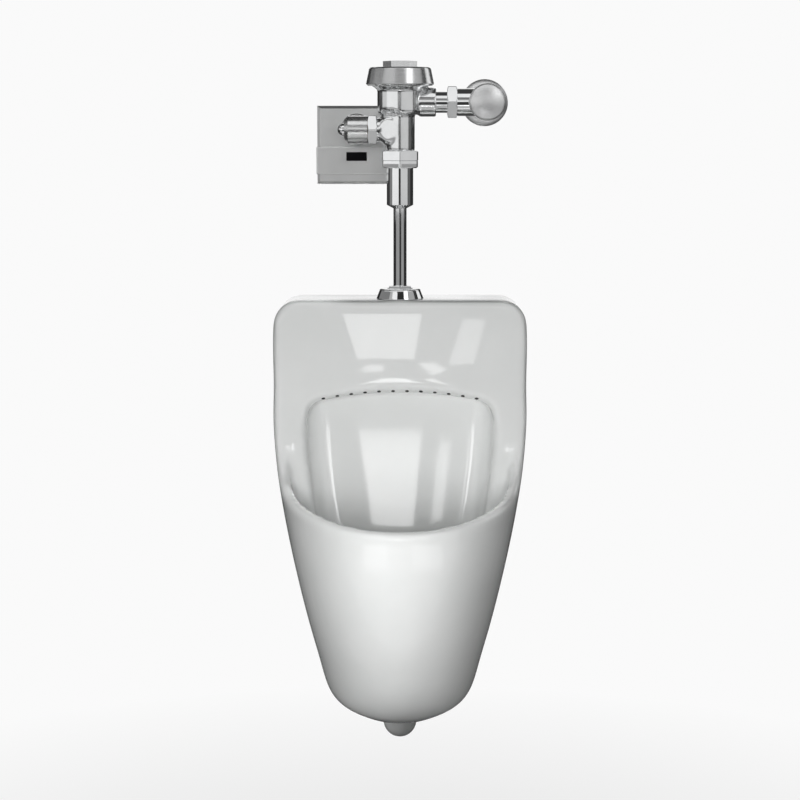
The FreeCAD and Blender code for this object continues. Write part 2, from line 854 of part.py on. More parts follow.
def hanger(name, x):
    plate = box(name + "_plate", "hanger_width", "hanger_thickness", "hanger_height", (x, "0", HANGER_BASE))
    shelf = box(name + "_shelf", "hanger_width", "rib_setback + rib_depth + gap + hanger_thickness",
                "hanger_thickness", (x, "0", f"{HANGER_SHELF} - hanger_thickness"))
    lip = box(name + "_lip", "hanger_width", "hanger_thickness",
              f"hanger_thickness + rib_height * {HOOK_SHARE}",
              (x, HANGER_LIP_Y, f"{HANGER_SHELF} - hanger_thickness"))
    holes = [cylinder(f"{name}_hole_{index}", "hanger_hole", "hanger_thickness * 2",
                      (f"{x} + ({side}) * hanger_hole_spacing / 2", "hanger_thickness / 2",
                       f"{HANGER_BASE} + hanger_height / 3"), FRONT)
             for index, side in enumerate((-1, 1))]
    return cut(name, fuse(name + "_bracket", plate, shelf, lip), *holes)


hangers = doc.addObject("Part::Compound", "hanger_pair")
hangers.Links = [hanger("left_hanger", "-pocket_spacing / 2"), hanger("right_hanger", "pocket_spacing / 2")]
node(hangers, "wall_hangers")

# Drain

flange_ring = turned("outlet_flange_ring", tube("outlet_bore", "outlet_flange_radius", "outlet_flange_depth"),
                     ("0", "0", "0"), FRONT)
flange_holes = []
outlet_screws = []
for screw_index, screw_side in enumerate((-1, 1)):
    screw_x = f"({screw_side}) * outlet_screw_pitch"
    flange_holes.append(cylinder(f"outlet_hole_{screw_index}", "outlet_screw_radius + slip",
                                 f"outlet_flange_depth + {OVERCUT}", (screw_x, "0", "0"), FRONT))
    flange_holes.append(cylinder(f"outlet_sink_{screw_index}", "outlet_screw_head + slip",
                                 "outlet_screw_head_depth + gap", (screw_x, "0", "0"), FRONT))
    outlet_screws.append(turned(f"outlet_screw_{screw_index}", [
        ("0", "0"),
        ("outlet_screw_head", "0"),
        ("outlet_screw_head", "outlet_screw_head_depth"),
        ("outlet_screw_radius", "outlet_screw_head_depth"),
        ("outlet_screw_radius", "outlet_screw_length - gap"),
        ("0", "outlet_screw_length - gap"),
    ], (screw_x, "-gap", "0"), FRONT))
node(cut("outlet_flange_form", flange_ring, *flange_holes), "outlet_flange")
outlet_screw_pair = doc.addObject("Part::Compound", "outlet_screw_pair")
outlet_screw_pair.Links = outlet_screws
node(outlet_screw_pair, "outlet_screws")
node(turned("outlet_gasket_ring", tube("outlet_gasket_bore", "outlet_gasket_radius", "outlet_gasket_depth"),
            ("0", "-outlet_flange_depth", "0"), FRONT), "outlet_gasket")

DRAIN_Y = "-(trap_setback + trap_bend)"
strainer_disc = turned("strainer_disc", [
    ("0", "0"),
    ("strainer_radius", "0"),
    ("strainer_radius - strainer_thickness / 2", "strainer_thickness"),
    ("0", "strainer_thickness"),
], ("0", DRAIN_Y, "-floor_height"))
strainer_holes = []
for ring_number in range(1, int(num("strainer_ring_count")) + 1):
    hole_count = int(num("strainer_hole_count")) * ring_number
    for hole_index in range(hole_count):
        angle = 2 * math.pi * hole_index / hole_count
        hole_x = f"strainer_hole_pitch * {ring_number * math.cos(angle):.6f}"
        hole_y = f"{DRAIN_Y} + strainer_hole_pitch * {ring_number * math.sin(angle):.6f}"
        strainer_holes.append(cylinder(f"strainer_hole_{ring_number}_{hole_index}", "strainer_hole",
                                       "strainer_thickness * 3",
                                       (hole_x, hole_y, "-floor_height - strainer_thickness")))
node(cut("strainer_form", strainer_disc, *strainer_holes), "drain_strainer")

# Spud in the top of the china

LOCKNUT_BASE = "(spud_gasket_lip + friction_ring)"
SPUD_NUT_BASE = f"({LOCKNUT_BASE} + locknut_length + gap)"
node(turned("spud_form", [
    ("spud_bore", "0"),
    ("spud_foot_radius", "0"),
    ("spud_foot_radius", "spud_foot"),
    ("spud_radius", "spud_foot"),
    ("spud_radius", "spud_depth + spud_rise"),
    ("spud_bore", "spud_depth + spud_rise"),
], up_from_top("-spud_depth")), "inlet_spud")
node(turned("spud_gasket_form", [
    ("spud_radius + slip", "0"),
    ("inlet_radius - slip", "0"),
    ("inlet_radius - slip", "spud_depth - spud_foot"),
    ("spud_gasket_rim", "spud_depth - spud_foot"),
    ("spud_gasket_rim", "spud_depth - spud_foot + spud_gasket_lip"),
    ("spud_radius + slip", "spud_depth - spud_foot + spud_gasket_lip"),
], up_from_top("spud_foot - spud_depth")), "spud_gasket")
node(turned("friction_ring_form", tube("spud_radius + slip", "spud_gasket_rim", "friction_ring"),
            up_from_top("spud_gasket_lip")), "spud_friction_ring")
locknut_hexagon = hexagon("locknut_hexagon", "locknut_apothem", "locknut_length", up_from_top(LOCKNUT_BASE))
locknut_bore = cylinder("locknut_bore", "spud_radius + slip", f"locknut_length + {OVERCUT} * 2",
                        up_from_top(f"{LOCKNUT_BASE} - {OVERCUT}"))
node(cut("locknut_form", locknut_hexagon, locknut_bore), "spud_locknut")
node(turned("slip_gasket_form", tube("tube_radius + slip", "spud_radius", "slip_gasket"),
            up_from_top("spud_rise")), "slip_gasket")
nut("spud_coupling_nut", "spud_nut_apothem", f"(spud_rise + slip_gasket + spud_nut_lip - {SPUD_NUT_BASE})",
    "spud_radius + slip", "spud_nut_lip", "tube_radius + slip", up_from_top(SPUD_NUT_BASE))
NUT_HOLE = f"(spud_nut_apothem * {HEX_CORNER:.7f} + gap)"
node(turned("escutcheon_form", [
    ("escutcheon_radius - escutcheon_wall", "0"),
    ("escutcheon_radius", "0"),
    ("escutcheon_neck", "escutcheon_height - escutcheon_round", "escutcheon_round"),
    ("escutcheon_neck - escutcheon_round", "escutcheon_height"),
    (NUT_HOLE, "escutcheon_height"),
    (NUT_HOLE, "escutcheon_height - escutcheon_wall"),
    ("escutcheon_neck - escutcheon_round", "escutcheon_height - escutcheon_wall"),
    ("escutcheon_neck - escutcheon_wall", "escutcheon_height - escutcheon_round"),
], up_from_top("0")), "spud_flange")

# Flush tube and vacuum breaker

TUBE_TOP = f"(tube_insert + rough_in - {BODY_LOW} - outlet_gasket)"
TAPER_BASE = f"({TUBE_TOP} - breaker_length - breaker_taper)"
COLLAR_RADIUS = "(outlet_thread_radius - slip)"
BREAKER_BORE = "(breaker_radius - tube_wall)"
node(turned("flush_tube_form", [
    ("tube_radius - tube_wall", "0"),
    ("tube_radius", "0"),
    ("tube_radius", TAPER_BASE),
    ("breaker_radius", f"{TUBE_TOP} - breaker_length"),
    ("breaker_radius", f"{TUBE_TOP} - collar_height"),
    (COLLAR_RADIUS, f"{TUBE_TOP} - collar_height"),
    (COLLAR_RADIUS, TUBE_TOP),
    (BREAKER_BORE, TUBE_TOP),
    (BREAKER_BORE, f"{TUBE_TOP} - breaker_length + tube_wall"),
    ("tube_radius - tube_wall", f"{TAPER_BASE} + tube_wall"),
], up_from_top("-tube_insert")), "flush_tube")
INSERT_TOP = f"({TUBE_TOP} - tube_insert - gap)"
node(turned("insert_form", [
    ("insert_bore", "0"),
    ("insert_radius", "0"),
    ("insert_radius", "insert_length - insert_flange"),
    (f"{BREAKER_BORE} - slip", "insert_length - insert_flange"),
    (f"{BREAKER_BORE} - slip", "insert_length"),
    ("insert_bore", "insert_length"),
], up_from_top(f"{INSERT_TOP} - insert_length")), "vacuum_breaker_insert")
node(turned("sleeve_form", tube("insert_radius + slip", "insert_radius + slip + sleeve_wall", "sleeve_length"),
            up_from_top(f"{INSERT_TOP} - insert_flange - gap - sleeve_length")), "vacuum_breaker_sleeve")
node(turned("outlet_washer_form", tube(BREAKER_BORE, "outlet_thread_radius", "outlet_gasket"),
            up_from_supply(f"-{BODY_LOW} - outlet_gasket")), "outlet_coupling_gasket")
nut("outlet_coupling_nut", "outlet_nut_apothem",
    "(outlet_thread + outlet_gasket + collar_height + gap + outlet_nut_lip)",
    "outlet_thread_radius + slip", "outlet_nut_lip", "breaker_radius + slip",
    up_from_supply("-cup_below - barrel_length"), DOWN)

# Valve body

CUP_BASE = "(outlet_thread + barrel_length)"
CHAMBER_FLOOR = f"({CUP_BASE} + cup_floor)"
casting = turned("valve_casting", [
    ("outlet_way", "0"),
    ("outlet_thread_radius", "0"),
    ("outlet_thread_radius", "outlet_thread"),
    ("barrel_radius", "outlet_thread"),
    ("barrel_radius", CUP_BASE),
    ("cup_radius - cup_round", CUP_BASE, "cup_round"),
    ("cup_radius", f"{CUP_BASE} + cup_round"),
    ("cup_radius", f"{BODY_LOW} + cup_above"),
    ("flange_radius", f"{BODY_LOW} + cup_above + flare_height"),
    ("flange_radius", f"{BODY_LOW} + seat_level"),
    ("chamber_radius", f"{BODY_LOW} + seat_level"),
    ("chamber_radius", CHAMBER_FLOOR),
    ("seat_outer", CHAMBER_FLOOR),
    ("seat_outer", f"{BODY_LOW} + seat_level"),
    ("guide_bore", f"{BODY_LOW} + seat_level"),
    ("guide_bore", f"{CHAMBER_FLOOR} - guide_land"),
    ("outlet_way", f"{CHAMBER_FLOOR} - guide_land - guide_taper"),
], up_from_supply(f"-{BODY_LOW}"))
chamber_core = cylinder("chamber_core", "chamber_radius", f"{BODY_LOW} + seat_level",
                        up_from_supply(f"-{BODY_LOW}"))
inlet_rod = cylinder("inlet_boss_rod", "inlet_boss", "inlet_reach", along_supply("0"), RIGHT)
inlet_boss = cut("inlet_boss_form", inlet_rod, chamber_core)
outlet_core = cylinder("outlet_core", "outlet_way", BODY_LOW, up_from_supply(f"-{BODY_LOW}"))
port_bulb = turned("port_bulb", [
    ("0", "0"),
    ("port_bulb_foot", "0", "port_bulb_round"),
    ("port_thread_radius", "port_bulb_reach"),
    ("0", "port_bulb_reach"),
], along_port("0"), LEFT)
port_boss = cut("port_boss_form",
                fuse("port_boss_rod",
                     cylinder("port_thread_rod", "port_thread_radius", "port_reach", along_port("0"), LEFT),
                     port_bulb),
                outlet_core)
INLET_START = "((seat_outer + chamber_radius) / 2)"
node(cut("valve_body_form",
         fuse("valve_solid", casting, inlet_boss, port_boss),
         cylinder("inlet_way_cut", "inlet_way", f"inlet_reach - {INLET_START}",
                  along_supply(INLET_START), RIGHT),
         cylinder("inlet_socket_cut", "tail_radius + slip", "inlet_socket",
                  along_supply("inlet_reach - inlet_socket"), RIGHT),
         cylinder("port_way_cut", "port_way", "port_reach - barrel_radius", along_port("barrel_radius"), LEFT),
         cylinder("plunger_hole_cut", "plunger_hole", "barrel_radius", along_port("outlet_way / 2"), LEFT)),
     "valve_body")

# Diaphragm group and covers

DISC_BASE = "(seat_level + diaphragm_thickness + slip)"
COVER_RIM = "(flange_radius - gap)"
node(turned("diaphragm_form", tube("guide_bore + gap", COVER_RIM, "diaphragm_thickness"),
            up_from_supply("seat_level")), "diaphragm")
node(turned("guide_form", [
    ("guide_way", "0"),
    ("guide_bore - slip", "0"),
    ("guide_bore - slip", f"guide_drop + {DISC_BASE}"),
    ("guide_disc_radius", f"guide_drop + {DISC_BASE}"),
    ("guide_disc_radius", f"guide_drop + {DISC_BASE} + guide_disc"),
    ("guide_way", f"guide_drop + {DISC_BASE} + guide_disc"),
], up_from_supply("-guide_drop")), "diaphragm_guide")
HEAD_BASE = f"(relief_reach + {DISC_BASE} + guide_disc + gap)"
node(turned("relief_form", [
    ("0", "0"),
    ("relief_stem", "0"),
    ("relief_stem", HEAD_BASE),
    ("relief_head_radius", HEAD_BASE),
    ("relief_head_radius", f"{HEAD_BASE} + relief_head"),
    ("0", f"{HEAD_BASE} + relief_head"),
], up_from_supply("-relief_reach")), "relief_valve")
node(turned("inside_cover_form", [
    (f"{COVER_RIM} - inside_cover_rim", "0"),
    (COVER_RIM, "0"),
    (COVER_RIM, "inside_cover_height - inside_cover_bevel"),
    (f"{COVER_RIM} - inside_cover_bevel", "inside_cover_height"),
    ("0", "inside_cover_height"),
    ("0", "inside_cover_height - inside_cover_wall"),
    (f"{COVER_RIM} - inside_cover_rim", "inside_cover_height - inside_cover_wall"),
], up_from_supply("seat_level + diaphragm_thickness")), "inside_cover")
COVER_CEILING = "(seat_level + diaphragm_thickness + inside_cover_height + gap - cover_skirt)"
COVER_TOP = f"({COVER_CEILING} + cover_top_wall)"
cover_cup = turned("outside_cover_cup", [
    ("flange_radius + slip", "0"),
    ("cover_radius - cover_bevel", "0"),
    ("cover_radius", "cover_bevel"),
    ("cover_top_radius", f"{COVER_TOP} - cover_edge"),
    ("cover_top_radius - cover_edge", COVER_TOP),
    ("0", COVER_TOP),
    ("0", COVER_CEILING),
    ("flange_radius + slip", COVER_CEILING),
], up_from_supply("cover_skirt"))
cover_hexagon = hexagon("cover_hexagon", "cover_hex_apothem", "cover_hex_height",
                        up_from_supply(f"cover_skirt + {COVER_TOP}"), UP, 0.0)
node(fuse("outside_cover_form", cover_cup, cover_hexagon), "outside_cover")

# Solenoid on the side port

BASE_START = "(port_reach + port_gasket)"
HOUSING_START = f"({BASE_START} + base_flange + solenoid_nut_lip + 2 * gap)"
HOUSING_BORE = "(solenoid_radius - solenoid_wall)"
NECK_END = "(base_flange + solenoid_nut_lip + 3 * gap)"
COIL_START = f"({BASE_START} + {NECK_END} + base_disc + gap)"
BUTTON_START = f"({HOUSING_START} + solenoid_length - solenoid_end - gap - button_flange)"
node(turned("port_gasket_form", tube("port_way", "base_flange_radius", "port_gasket"),
            along_port("port_reach"), LEFT), "port_gasket")
nut("solenoid_coupling_nut", "solenoid_nut_apothem",
    f"({BASE_START} + base_flange + gap + solenoid_nut_lip - solenoid_nut_start)",
    "port_thread_radius + slip", "solenoid_nut_lip", "base_neck_radius + slip",
    along_port("solenoid_nut_start"), LEFT)
node(turned("solenoid_base_form", [
    ("plunger_radius + slip", "0"),
    ("base_flange_radius", "0"),
    ("base_flange_radius", "base_flange"),
    ("base_neck_radius", "base_flange"),
    ("base_neck_radius", NECK_END),
    (f"{HOUSING_BORE} - slip", NECK_END),
    (f"{HOUSING_BORE} - slip", f"{NECK_END} + base_disc"),
    ("guide_tube_radius", f"{NECK_END} + base_disc"),
    ("guide_tube_radius", f"{NECK_END} + base_disc + coil_length + 2 * gap"),
    ("plunger_radius + slip", f"{NECK_END} + base_disc + coil_length + 2 * gap"),
], along_port(BASE_START), LEFT), "solenoid_base")
housing_cup = turned("solenoid_cup", [
    (HOUSING_BORE, "0"),
    ("solenoid_radius", "0"),
    ("solenoid_radius", "solenoid_length - solenoid_chamfer"),
    ("solenoid_radius - solenoid_chamfer", "solenoid_length"),
    ("button_radius + slip", "solenoid_length"),
    ("button_radius + slip", "solenoid_length - solenoid_end"),
    (f"{HOUSING_BORE} - solenoid_chamfer", "solenoid_length - solenoid_end"),
    (HOUSING_BORE, "solenoid_length - solenoid_end - solenoid_chamfer"),
], along_port(HOUSING_START), LEFT)
conduit_hole = cylinder("conduit_hole", "conduit_radius + slip", f"solenoid_radius + {OVERCUT}",
                        along_port("conduit_offset"), BACK)
node(cut("solenoid_housing_form", housing_cup, conduit_hole), "solenoid_housing")
node(turned("coil_form", tube("guide_tube_radius + slip", f"{HOUSING_BORE} - coil_room", "coil_length"),
            along_port(COIL_START), LEFT), "solenoid_coil")
PLUNGER_TIP = "(relief_stem + gap)"
node(turned("plunger_form", [
    ("0", "0"),
    ("plunger_radius", "0"),
    ("plunger_radius", f"plunger_collar_reach - {PLUNGER_TIP}"),
    ("plunger_collar", f"plunger_collar_reach - {PLUNGER_TIP}"),
    ("plunger_collar", f"plunger_collar_reach + plunger_collar_width - {PLUNGER_TIP}"),
    ("plunger_radius", f"plunger_collar_reach + plunger_collar_width - {PLUNGER_TIP}"),
    ("plunger_radius", f"{BUTTON_START} - gap - {PLUNGER_TIP}"),
    ("0", f"{BUTTON_START} - gap - {PLUNGER_TIP}"),
], along_port(PLUNGER_TIP), LEFT), "plunger")
BUTTON_TIP = "(button_flange + gap + solenoid_end + button_proud)"
DOME_RADIUS = "(button_radius + button_dome_spare)"
node(turned("button_form", [
    ("0", "0"),
    ("button_radius + button_flange_lip", "0"),
    ("button_radius + button_flange_lip", "button_flange"),
    ("button_radius", "button_flange"),
    ("button_radius", f"{BUTTON_TIP} - {DOME_RADIUS} + "
                      f"sqrt({DOME_RADIUS} * {DOME_RADIUS} - button_radius * button_radius)", DOME_RADIUS),
    ("0", BUTTON_TIP),
], along_port(BUTTON_START), LEFT), "override_button")


def spring_path(radius, length, turns):
    """Helix of quarter-turn arcs about the Z axis, from height zero."""
    quarters = turns * 4

    def at(share):
        angle = 2 * math.pi * turns * share
        return Vector(radius * math.cos(angle), radius * math.sin(angle), length * share)

    return [Part.Arc(at(index / quarters), at((index + 0.5) / quarters), at((index + 1) / quarters))
            for index in range(quarters)]


spring_seat = num("barrel_radius + gap + spring_wire / 2")
spring_length = num("plunger_collar_reach - gap - spring_wire / 2") - spring_seat
spring_radius = num("(plunger_radius + plunger_collar) / 2")
spring_curve = spring_path(spring_radius, spring_length, int(num("spring_turns")))
spring = feature("plunger_spring_form", pipe(spring_curve, num("spring_wire") / 2))
spring.Placement = Placement(Vector(-spring_seat, num(VALVE_Y), num(PORT_Z)), LEFT)
node(spring, "plunger_spring")

# Conduit and its wires

PLATE_INSIDE = "(plate_depth - plate_wall)"
node(turned("conduit_form", tube("conduit_bore", "conduit_radius",
                                 f"panel_depth - spud_setback - {HOUSING_BORE} - {PLATE_INSIDE}"),
            (PLATE_X, f"-{PLATE_INSIDE}", PORT_Z), FRONT), "conduit_tube")
node(turned("conduit_collar_form", [
    ("conduit_radius + slip", "0"),
    ("conduit_collar_radius", "0"),
    ("conduit_collar_radius", "conduit_collar_depth / 2"),
    ("conduit_collar_radius - conduit_collar_depth / 2", "conduit_collar_depth"),
    ("conduit_radius + slip", "conduit_collar_depth"),
], (PLATE_X, "-plate_depth", PORT_Z), FRONT), "conduit_collar")

MODULE_TOP = f"({SUPPLY_Z} - band_drop + module_height / 2)"
lead_x = num(PLATE_X)
lead_z = num(PORT_Z)
lead_start = num(f"{VALVE_Y} + {HOUSING_BORE} - coil_room + gap")
lead_back = -num("lead_radius + gap * 2")
lead_bend = num("lead_radius") * LEAD_BEND
lead_lean = lead_bend * EIGHTH_TURN
lead_turn_start = Vector(lead_x, lead_back - lead_bend, lead_z)
lead_turn_end = Vector(lead_x, lead_back, lead_z - lead_bend)
lead_turn_middle = Vector(lead_x, lead_back - lead_lean, lead_z - lead_lean)
leads = pipe([
    Part.LineSegment(Vector(lead_x, lead_start, lead_z), lead_turn_start),
    Part.Arc(lead_turn_start, lead_turn_middle, lead_turn_end),
    Part.LineSegment(lead_turn_end, Vector(lead_x, lead_back, num(f"{MODULE_TOP} + gap"))),
], num("lead_radius"))
node(feature("solenoid_leads_form", leads), "solenoid_leads")

# Sensor plate on the wall

PLATE_BASE = f"({SUPPLY_Z} - plate_drop - plate_height / 2)"
PLATE_INSET = f"(plate_wall + plate_bevel * {INSET_SHARE})"
CAVITY_WIDTH = f"(plate_width - 2 * {PLATE_INSET})"
CAVITY_HEIGHT = f"(plate_height - 2 * {PLATE_INSET})"
BAND_BASE = f"({SUPPLY_Z} - band_drop - band_height / 2)"
plate_slab = box("plate_slab", "plate_width", "plate_depth - plate_bevel", "plate_height",
                 (PLATE_X, "0", PLATE_BASE))
plate_front = doc.addObject("Part::Wedge", "plate_front")
for wedge_end, wedge_text in (
        ("Xmin", "plate_bevel"), ("Xmax", "plate_width - plate_bevel"),
        ("X2min", "0"), ("X2max", "plate_width"),
        ("Zmin", "plate_bevel"), ("Zmax", "plate_height - plate_bevel"),
        ("Z2min", "0"), ("Z2max", "plate_height"),
        ("Ymin", "0"), ("Ymax", "plate_bevel")):
    tie(plate_front, wedge_end, wedge_text)
place(plate_front, (f"{PLATE_X} - plate_width / 2", "-plate_depth", PLATE_BASE))
plate_screw_holes = []
plate_screws = []
for screw_index, screw_side in enumerate((-1, 1)):
    screw_at = (f"{PLATE_X} + ({screw_side}) * plate_screw_spacing / 2", "-(plate_depth - plate_bevel) / 2")
    plate_screw_holes.append(cylinder(f"plate_screw_hole_{screw_index}", "plate_screw_radius + slip",
                                      f"{PLATE_INSET} + {OVERCUT}", (*screw_at, PLATE_BASE)))
    plate_screws.append(cylinder(f"plate_screw_{screw_index}", "plate_screw_radius", f"{PLATE_INSET} - gap",
                                 (*screw_at, f"{PLATE_BASE} + gap")))
node(cut("wall_plate_form", fuse("plate_solid", plate_slab, plate_front),
         box("plate_cavity", CAVITY_WIDTH, PLATE_INSIDE, CAVITY_HEIGHT,
             (PLATE_X, "0", f"{PLATE_BASE} + {PLATE_INSET}")),
         box("plate_window", "module_width + 2 * gap", f"plate_depth + {OVERCUT}", "module_height + 2 * gap",
             (PLATE_X, "0", f"{SUPPLY_Z} - band_drop - module_height / 2 - gap")),
         cylinder("plate_conduit_hole", "conduit_radius + slip", f"plate_depth + {OVERCUT}",
                  (PLATE_X, "0", PORT_Z), FRONT),
         *plate_screw_holes), "wall_plate")
plate_screw_pair = doc.addObject("Part::Compound", "plate_screw_pair")
plate_screw_pair.Links = plate_screws
node(plate_screw_pair, "plate_screws")
frame_outer = box("frame_outer", f"{CAVITY_WIDTH} - 2 * gap", "frame_depth", f"{CAVITY_HEIGHT} - 2 * gap",
                  (PLATE_X, "0", f"{PLATE_BASE} + {PLATE_INSET} + gap"))
frame_inner = box("frame_inner", f"{CAVITY_WIDTH} - 2 * frame_border", "frame_depth * 2",
                  f"{CAVITY_HEIGHT} - 2 * frame_border",
                  (PLATE_X, "frame_depth / 2", f"{PLATE_BASE} + {PLATE_INSET} + frame_border"))
node(cut("plate_frame_form", frame_outer, frame_inner), "plate_frame")

band_body = doc.addObject("PartDesign::Body", "band_block")
band_sketch = band_body.newObject("Sketcher::SketchObject", "band_outline")
band_sketch.AttachmentSupport = [(origin_plane(band_body, "XZ_Plane"), "")]
band_sketch.MapMode = "FlatFace"
band_half = num("plate_width / 2 + band_overhang")
band_corners = [Vector(-band_half, 0, 0), Vector(band_half, 0, 0),
                Vector(band_half, num("band_height"), 0), Vector(-band_half, num("band_height"), 0)]
for corner_index, corner in enumerate(band_corners):
    following = band_corners[(corner_index + 1) % 4]
    band_sketch.addGeometry(Part.LineSegment(corner, following), False)
for corner_index in range(4):
    band_sketch.addConstraint(Sketcher.Constraint("Coincident", corner_index, 2, (corner_index + 1) % 4, 1))
for line_index, direction in enumerate(("Horizontal", "Vertical", "Horizontal", "Vertical")):
    band_sketch.addConstraint(Sketcher.Constraint(direction, line_index))
band_sketch.addConstraint(Sketcher.Constraint("Symmetric", 0, 1, 0, 2, -1, 1))
width_rule = band_sketch.addConstraint(Sketcher.Constraint("DistanceX", 0, 1, 0, 2, band_half * 2))
tie(band_sketch, f"Constraints[{width_rule}]", "plate_width + band_overhang * 2")
height_rule = band_sketch.addConstraint(Sketcher.Constraint("DistanceY", 1, 1, 1, 2, num("band_height")))
tie(band_sketch, f"Constraints[{height_rule}]", "band_height")
band_pad = band_body.newObject("PartDesign::Pad", "band_pad")
band_pad.Profile = band_sketch
tie(band_pad, "Length", "band_depth")
doc.recompute()
front_edges = [f"Edge{index + 1}" for index, edge in enumerate(band_pad.Shape.Edges)
               if edge.BoundBox.YMin < -num("band_depth") + TOLERANCE]
band_round = band_body.newObject("PartDesign::Fillet", "band_round")
band_round.Base = (band_pad, front_edges)
tie(band_round, "Radius", "band_edge")
band_body.Tip = band_round
place(band_body, (PLATE_X, "-plate_depth", BAND_BASE))
WINDOW_BASE = f"({SUPPLY_Z} - band_drop + window_rise - window_height / 2)"
BAND_FACE = "(plate_depth + band_depth)"
node(cut("sensor_cover_form", band_body,
         box("band_cavity", "module_width + 2 * gap", "band_depth - band_wall", "module_height + 2 * gap",
             (PLATE_X, "-plate_depth", f"{SUPPLY_Z} - band_drop - module_height / 2 - gap")),
         box("band_window", "window_width + 2 * slip", f"band_depth + {OVERCUT}", "window_height + 2 * slip",
             (PLATE_X, "-plate_depth", f"{WINDOW_BASE} - slip"))), "sensor_cover")
node(box("window_block", "window_width", "window_depth", "window_height",
         (PLATE_X, f"window_depth - window_proud - {BAND_FACE}", WINDOW_BASE)), "sensor_window")
node(box("module_block", "module_width", "module_depth", "module_height",
         (PLATE_X, f"module_depth + band_wall + gap - {BAND_FACE}",
          f"{SUPPLY_Z} - band_drop - module_height / 2")), "sensor_module")

# Tailpiece between the valve and the control stop

TAIL_START = "(inlet_reach - inlet_socket + gap)"
NECK_BORE = "(tail_nose_radius + 2 * gap)"
RING_RADIUS = f"({NECK_BORE} - slip - ring_wire)"
GROOVE_RADIUS = f"({RING_RADIUS} - ring_wire - slip)"
RING_PLACE = "(tail_shoulder + tail_nose - ring_setback)"
GROOVE_HALF = "(ring_wire + slip)"
node(turned("tailpiece_form", [
    ("tail_bore", "0"),
    ("tail_radius", "0"),
    ("tail_radius", f"tail_shoulder - {TAIL_START}"),
    ("tail_nose_radius", f"tail_shoulder - {TAIL_START}"),
    ("tail_nose_radius", f"{RING_PLACE} - {GROOVE_HALF} - {TAIL_START}"),
    (GROOVE_RADIUS, f"{RING_PLACE} - {GROOVE_HALF} - {TAIL_START}"),
    (GROOVE_RADIUS, f"{RING_PLACE} + {GROOVE_HALF} - {TAIL_START}"),
    ("tail_nose_radius", f"{RING_PLACE} + {GROOVE_HALF} - {TAIL_START}"),
    ("tail_nose_radius", f"tail_shoulder + tail_nose - {TAIL_START}"),
    ("tail_bore", f"tail_shoulder + tail_nose - {TAIL_START}"),
], along_supply(TAIL_START), RIGHT), "tailpiece")
node(ring("tail_ring_form", RING_RADIUS, "ring_wire", along_supply(RING_PLACE), RIGHT), "tailpiece_o_ring")
node(turned("lock_ring_form", tube("tail_radius + slip", "lock_ring_radius", "lock_ring"),
            along_supply("tail_shoulder - lock_ring"), RIGHT), "tailpiece_lock_ring")
TAIL_NUT_END = "(tail_nut_start + tail_nut_length)"
nut("tailpiece_coupling_nut", "tail_nut_apothem", "tail_nut_length", "neck_thread_radius + slip",
    "tail_nut_lip", "tail_radius + slip", along_supply(TAIL_NUT_END), LEFT)

# Control stop

SEAT_FACE = "(socket_depth + stop_orifice_depth)"
stop_casting = turned("stop_casting", [
    ("socket_radius", "0"),
    ("stop_hub_radius", "0"),
    ("stop_hub_radius", "stop_hub"),
    ("stop_radius", "stop_hub + stop_hub_flare"),
    ("stop_radius", "stop_length - stop_chamfer"),
    ("stop_radius - stop_chamfer", "stop_length"),
    ("stop_chamber", "stop_length"),
    ("stop_chamber", SEAT_FACE),
    ("stop_orifice", SEAT_FACE),
    ("stop_orifice", "socket_depth"),
    ("socket_radius", "socket_depth"),
], along_stop("0"), FRONT)
NECK_LENGTH = "(stop_offset - tail_shoulder - gap)"
stop_neck = cut("stop_neck_form",
                fuse("stop_neck_rod",
                     cylinder("neck_thread_rod", "neck_thread_radius", NECK_LENGTH,
                              along_supply("stop_offset"), LEFT),
                     cylinder("neck_plain_rod", "neck_radius", f"stop_offset - {TAIL_NUT_END} - 2 * gap",
                              along_supply("stop_offset"), LEFT)),
                cylinder("stop_core", "stop_chamber", "stop_length", along_stop("0"), FRONT))
node(cut("stop_body_form", fuse("stop_solid", stop_casting, stop_neck),
         cylinder("neck_bore_cut", NECK_BORE, NECK_LENGTH, along_supply("stop_offset"), LEFT)), "stop_body")
SCREW_BORE = "(screw_radius + slip)"
BONNET_START = "(stop_length - bonnet_thread)"
node(turned("bonnet_form", [
    (SCREW_BORE, "0"),
    ("stop_chamber - slip", "0"),
    ("stop_chamber - slip", "bonnet_thread"),
    ("bonnet_radius", "bonnet_thread"),
    ("bonnet_radius", "bonnet_thread + bonnet_flange"),
    (SCREW_BORE, "bonnet_thread + bonnet_flange"),
], along_stop(BONNET_START), FRONT), "stop_bonnet")
node(turned("bonnet_washer_form", tube(SCREW_BORE, "stop_chamber - slip", "bonnet_washer"),
            along_stop(f"{BONNET_START} - bonnet_washer"), FRONT), "bonnet_washer")
SCREW_START = f"({SEAT_FACE} + screw_end)"
COLLAR_END = f"({BONNET_START} - bonnet_washer - gap)"
COLLAR_START = f"({COLLAR_END} - screw_collar)"
HEAD_START = "(stop_length + bonnet_flange + gap)"
stop_spindle = turned("stop_spindle", [
    ("0", "0"),
    ("screw_thread_radius", "0"),
    ("screw_thread_radius", f"{COLLAR_START} - {SCREW_START}"),
    ("screw_collar_radius", f"{COLLAR_START} - {SCREW_START}"),
    ("screw_collar_radius", f"{COLLAR_END} - {SCREW_START}"),
    ("screw_radius", f"{COLLAR_END} - {SCREW_START}"),
    ("screw_radius", f"{HEAD_START} - {SCREW_START}"),
    ("screw_head_radius", f"{HEAD_START} - {SCREW_START}"),
    ("screw_head_radius", f"{HEAD_START} + screw_head - {SCREW_START}"),
    ("0", f"{HEAD_START} + screw_head - {SCREW_START}"),
], along_stop(SCREW_START), FRONT)
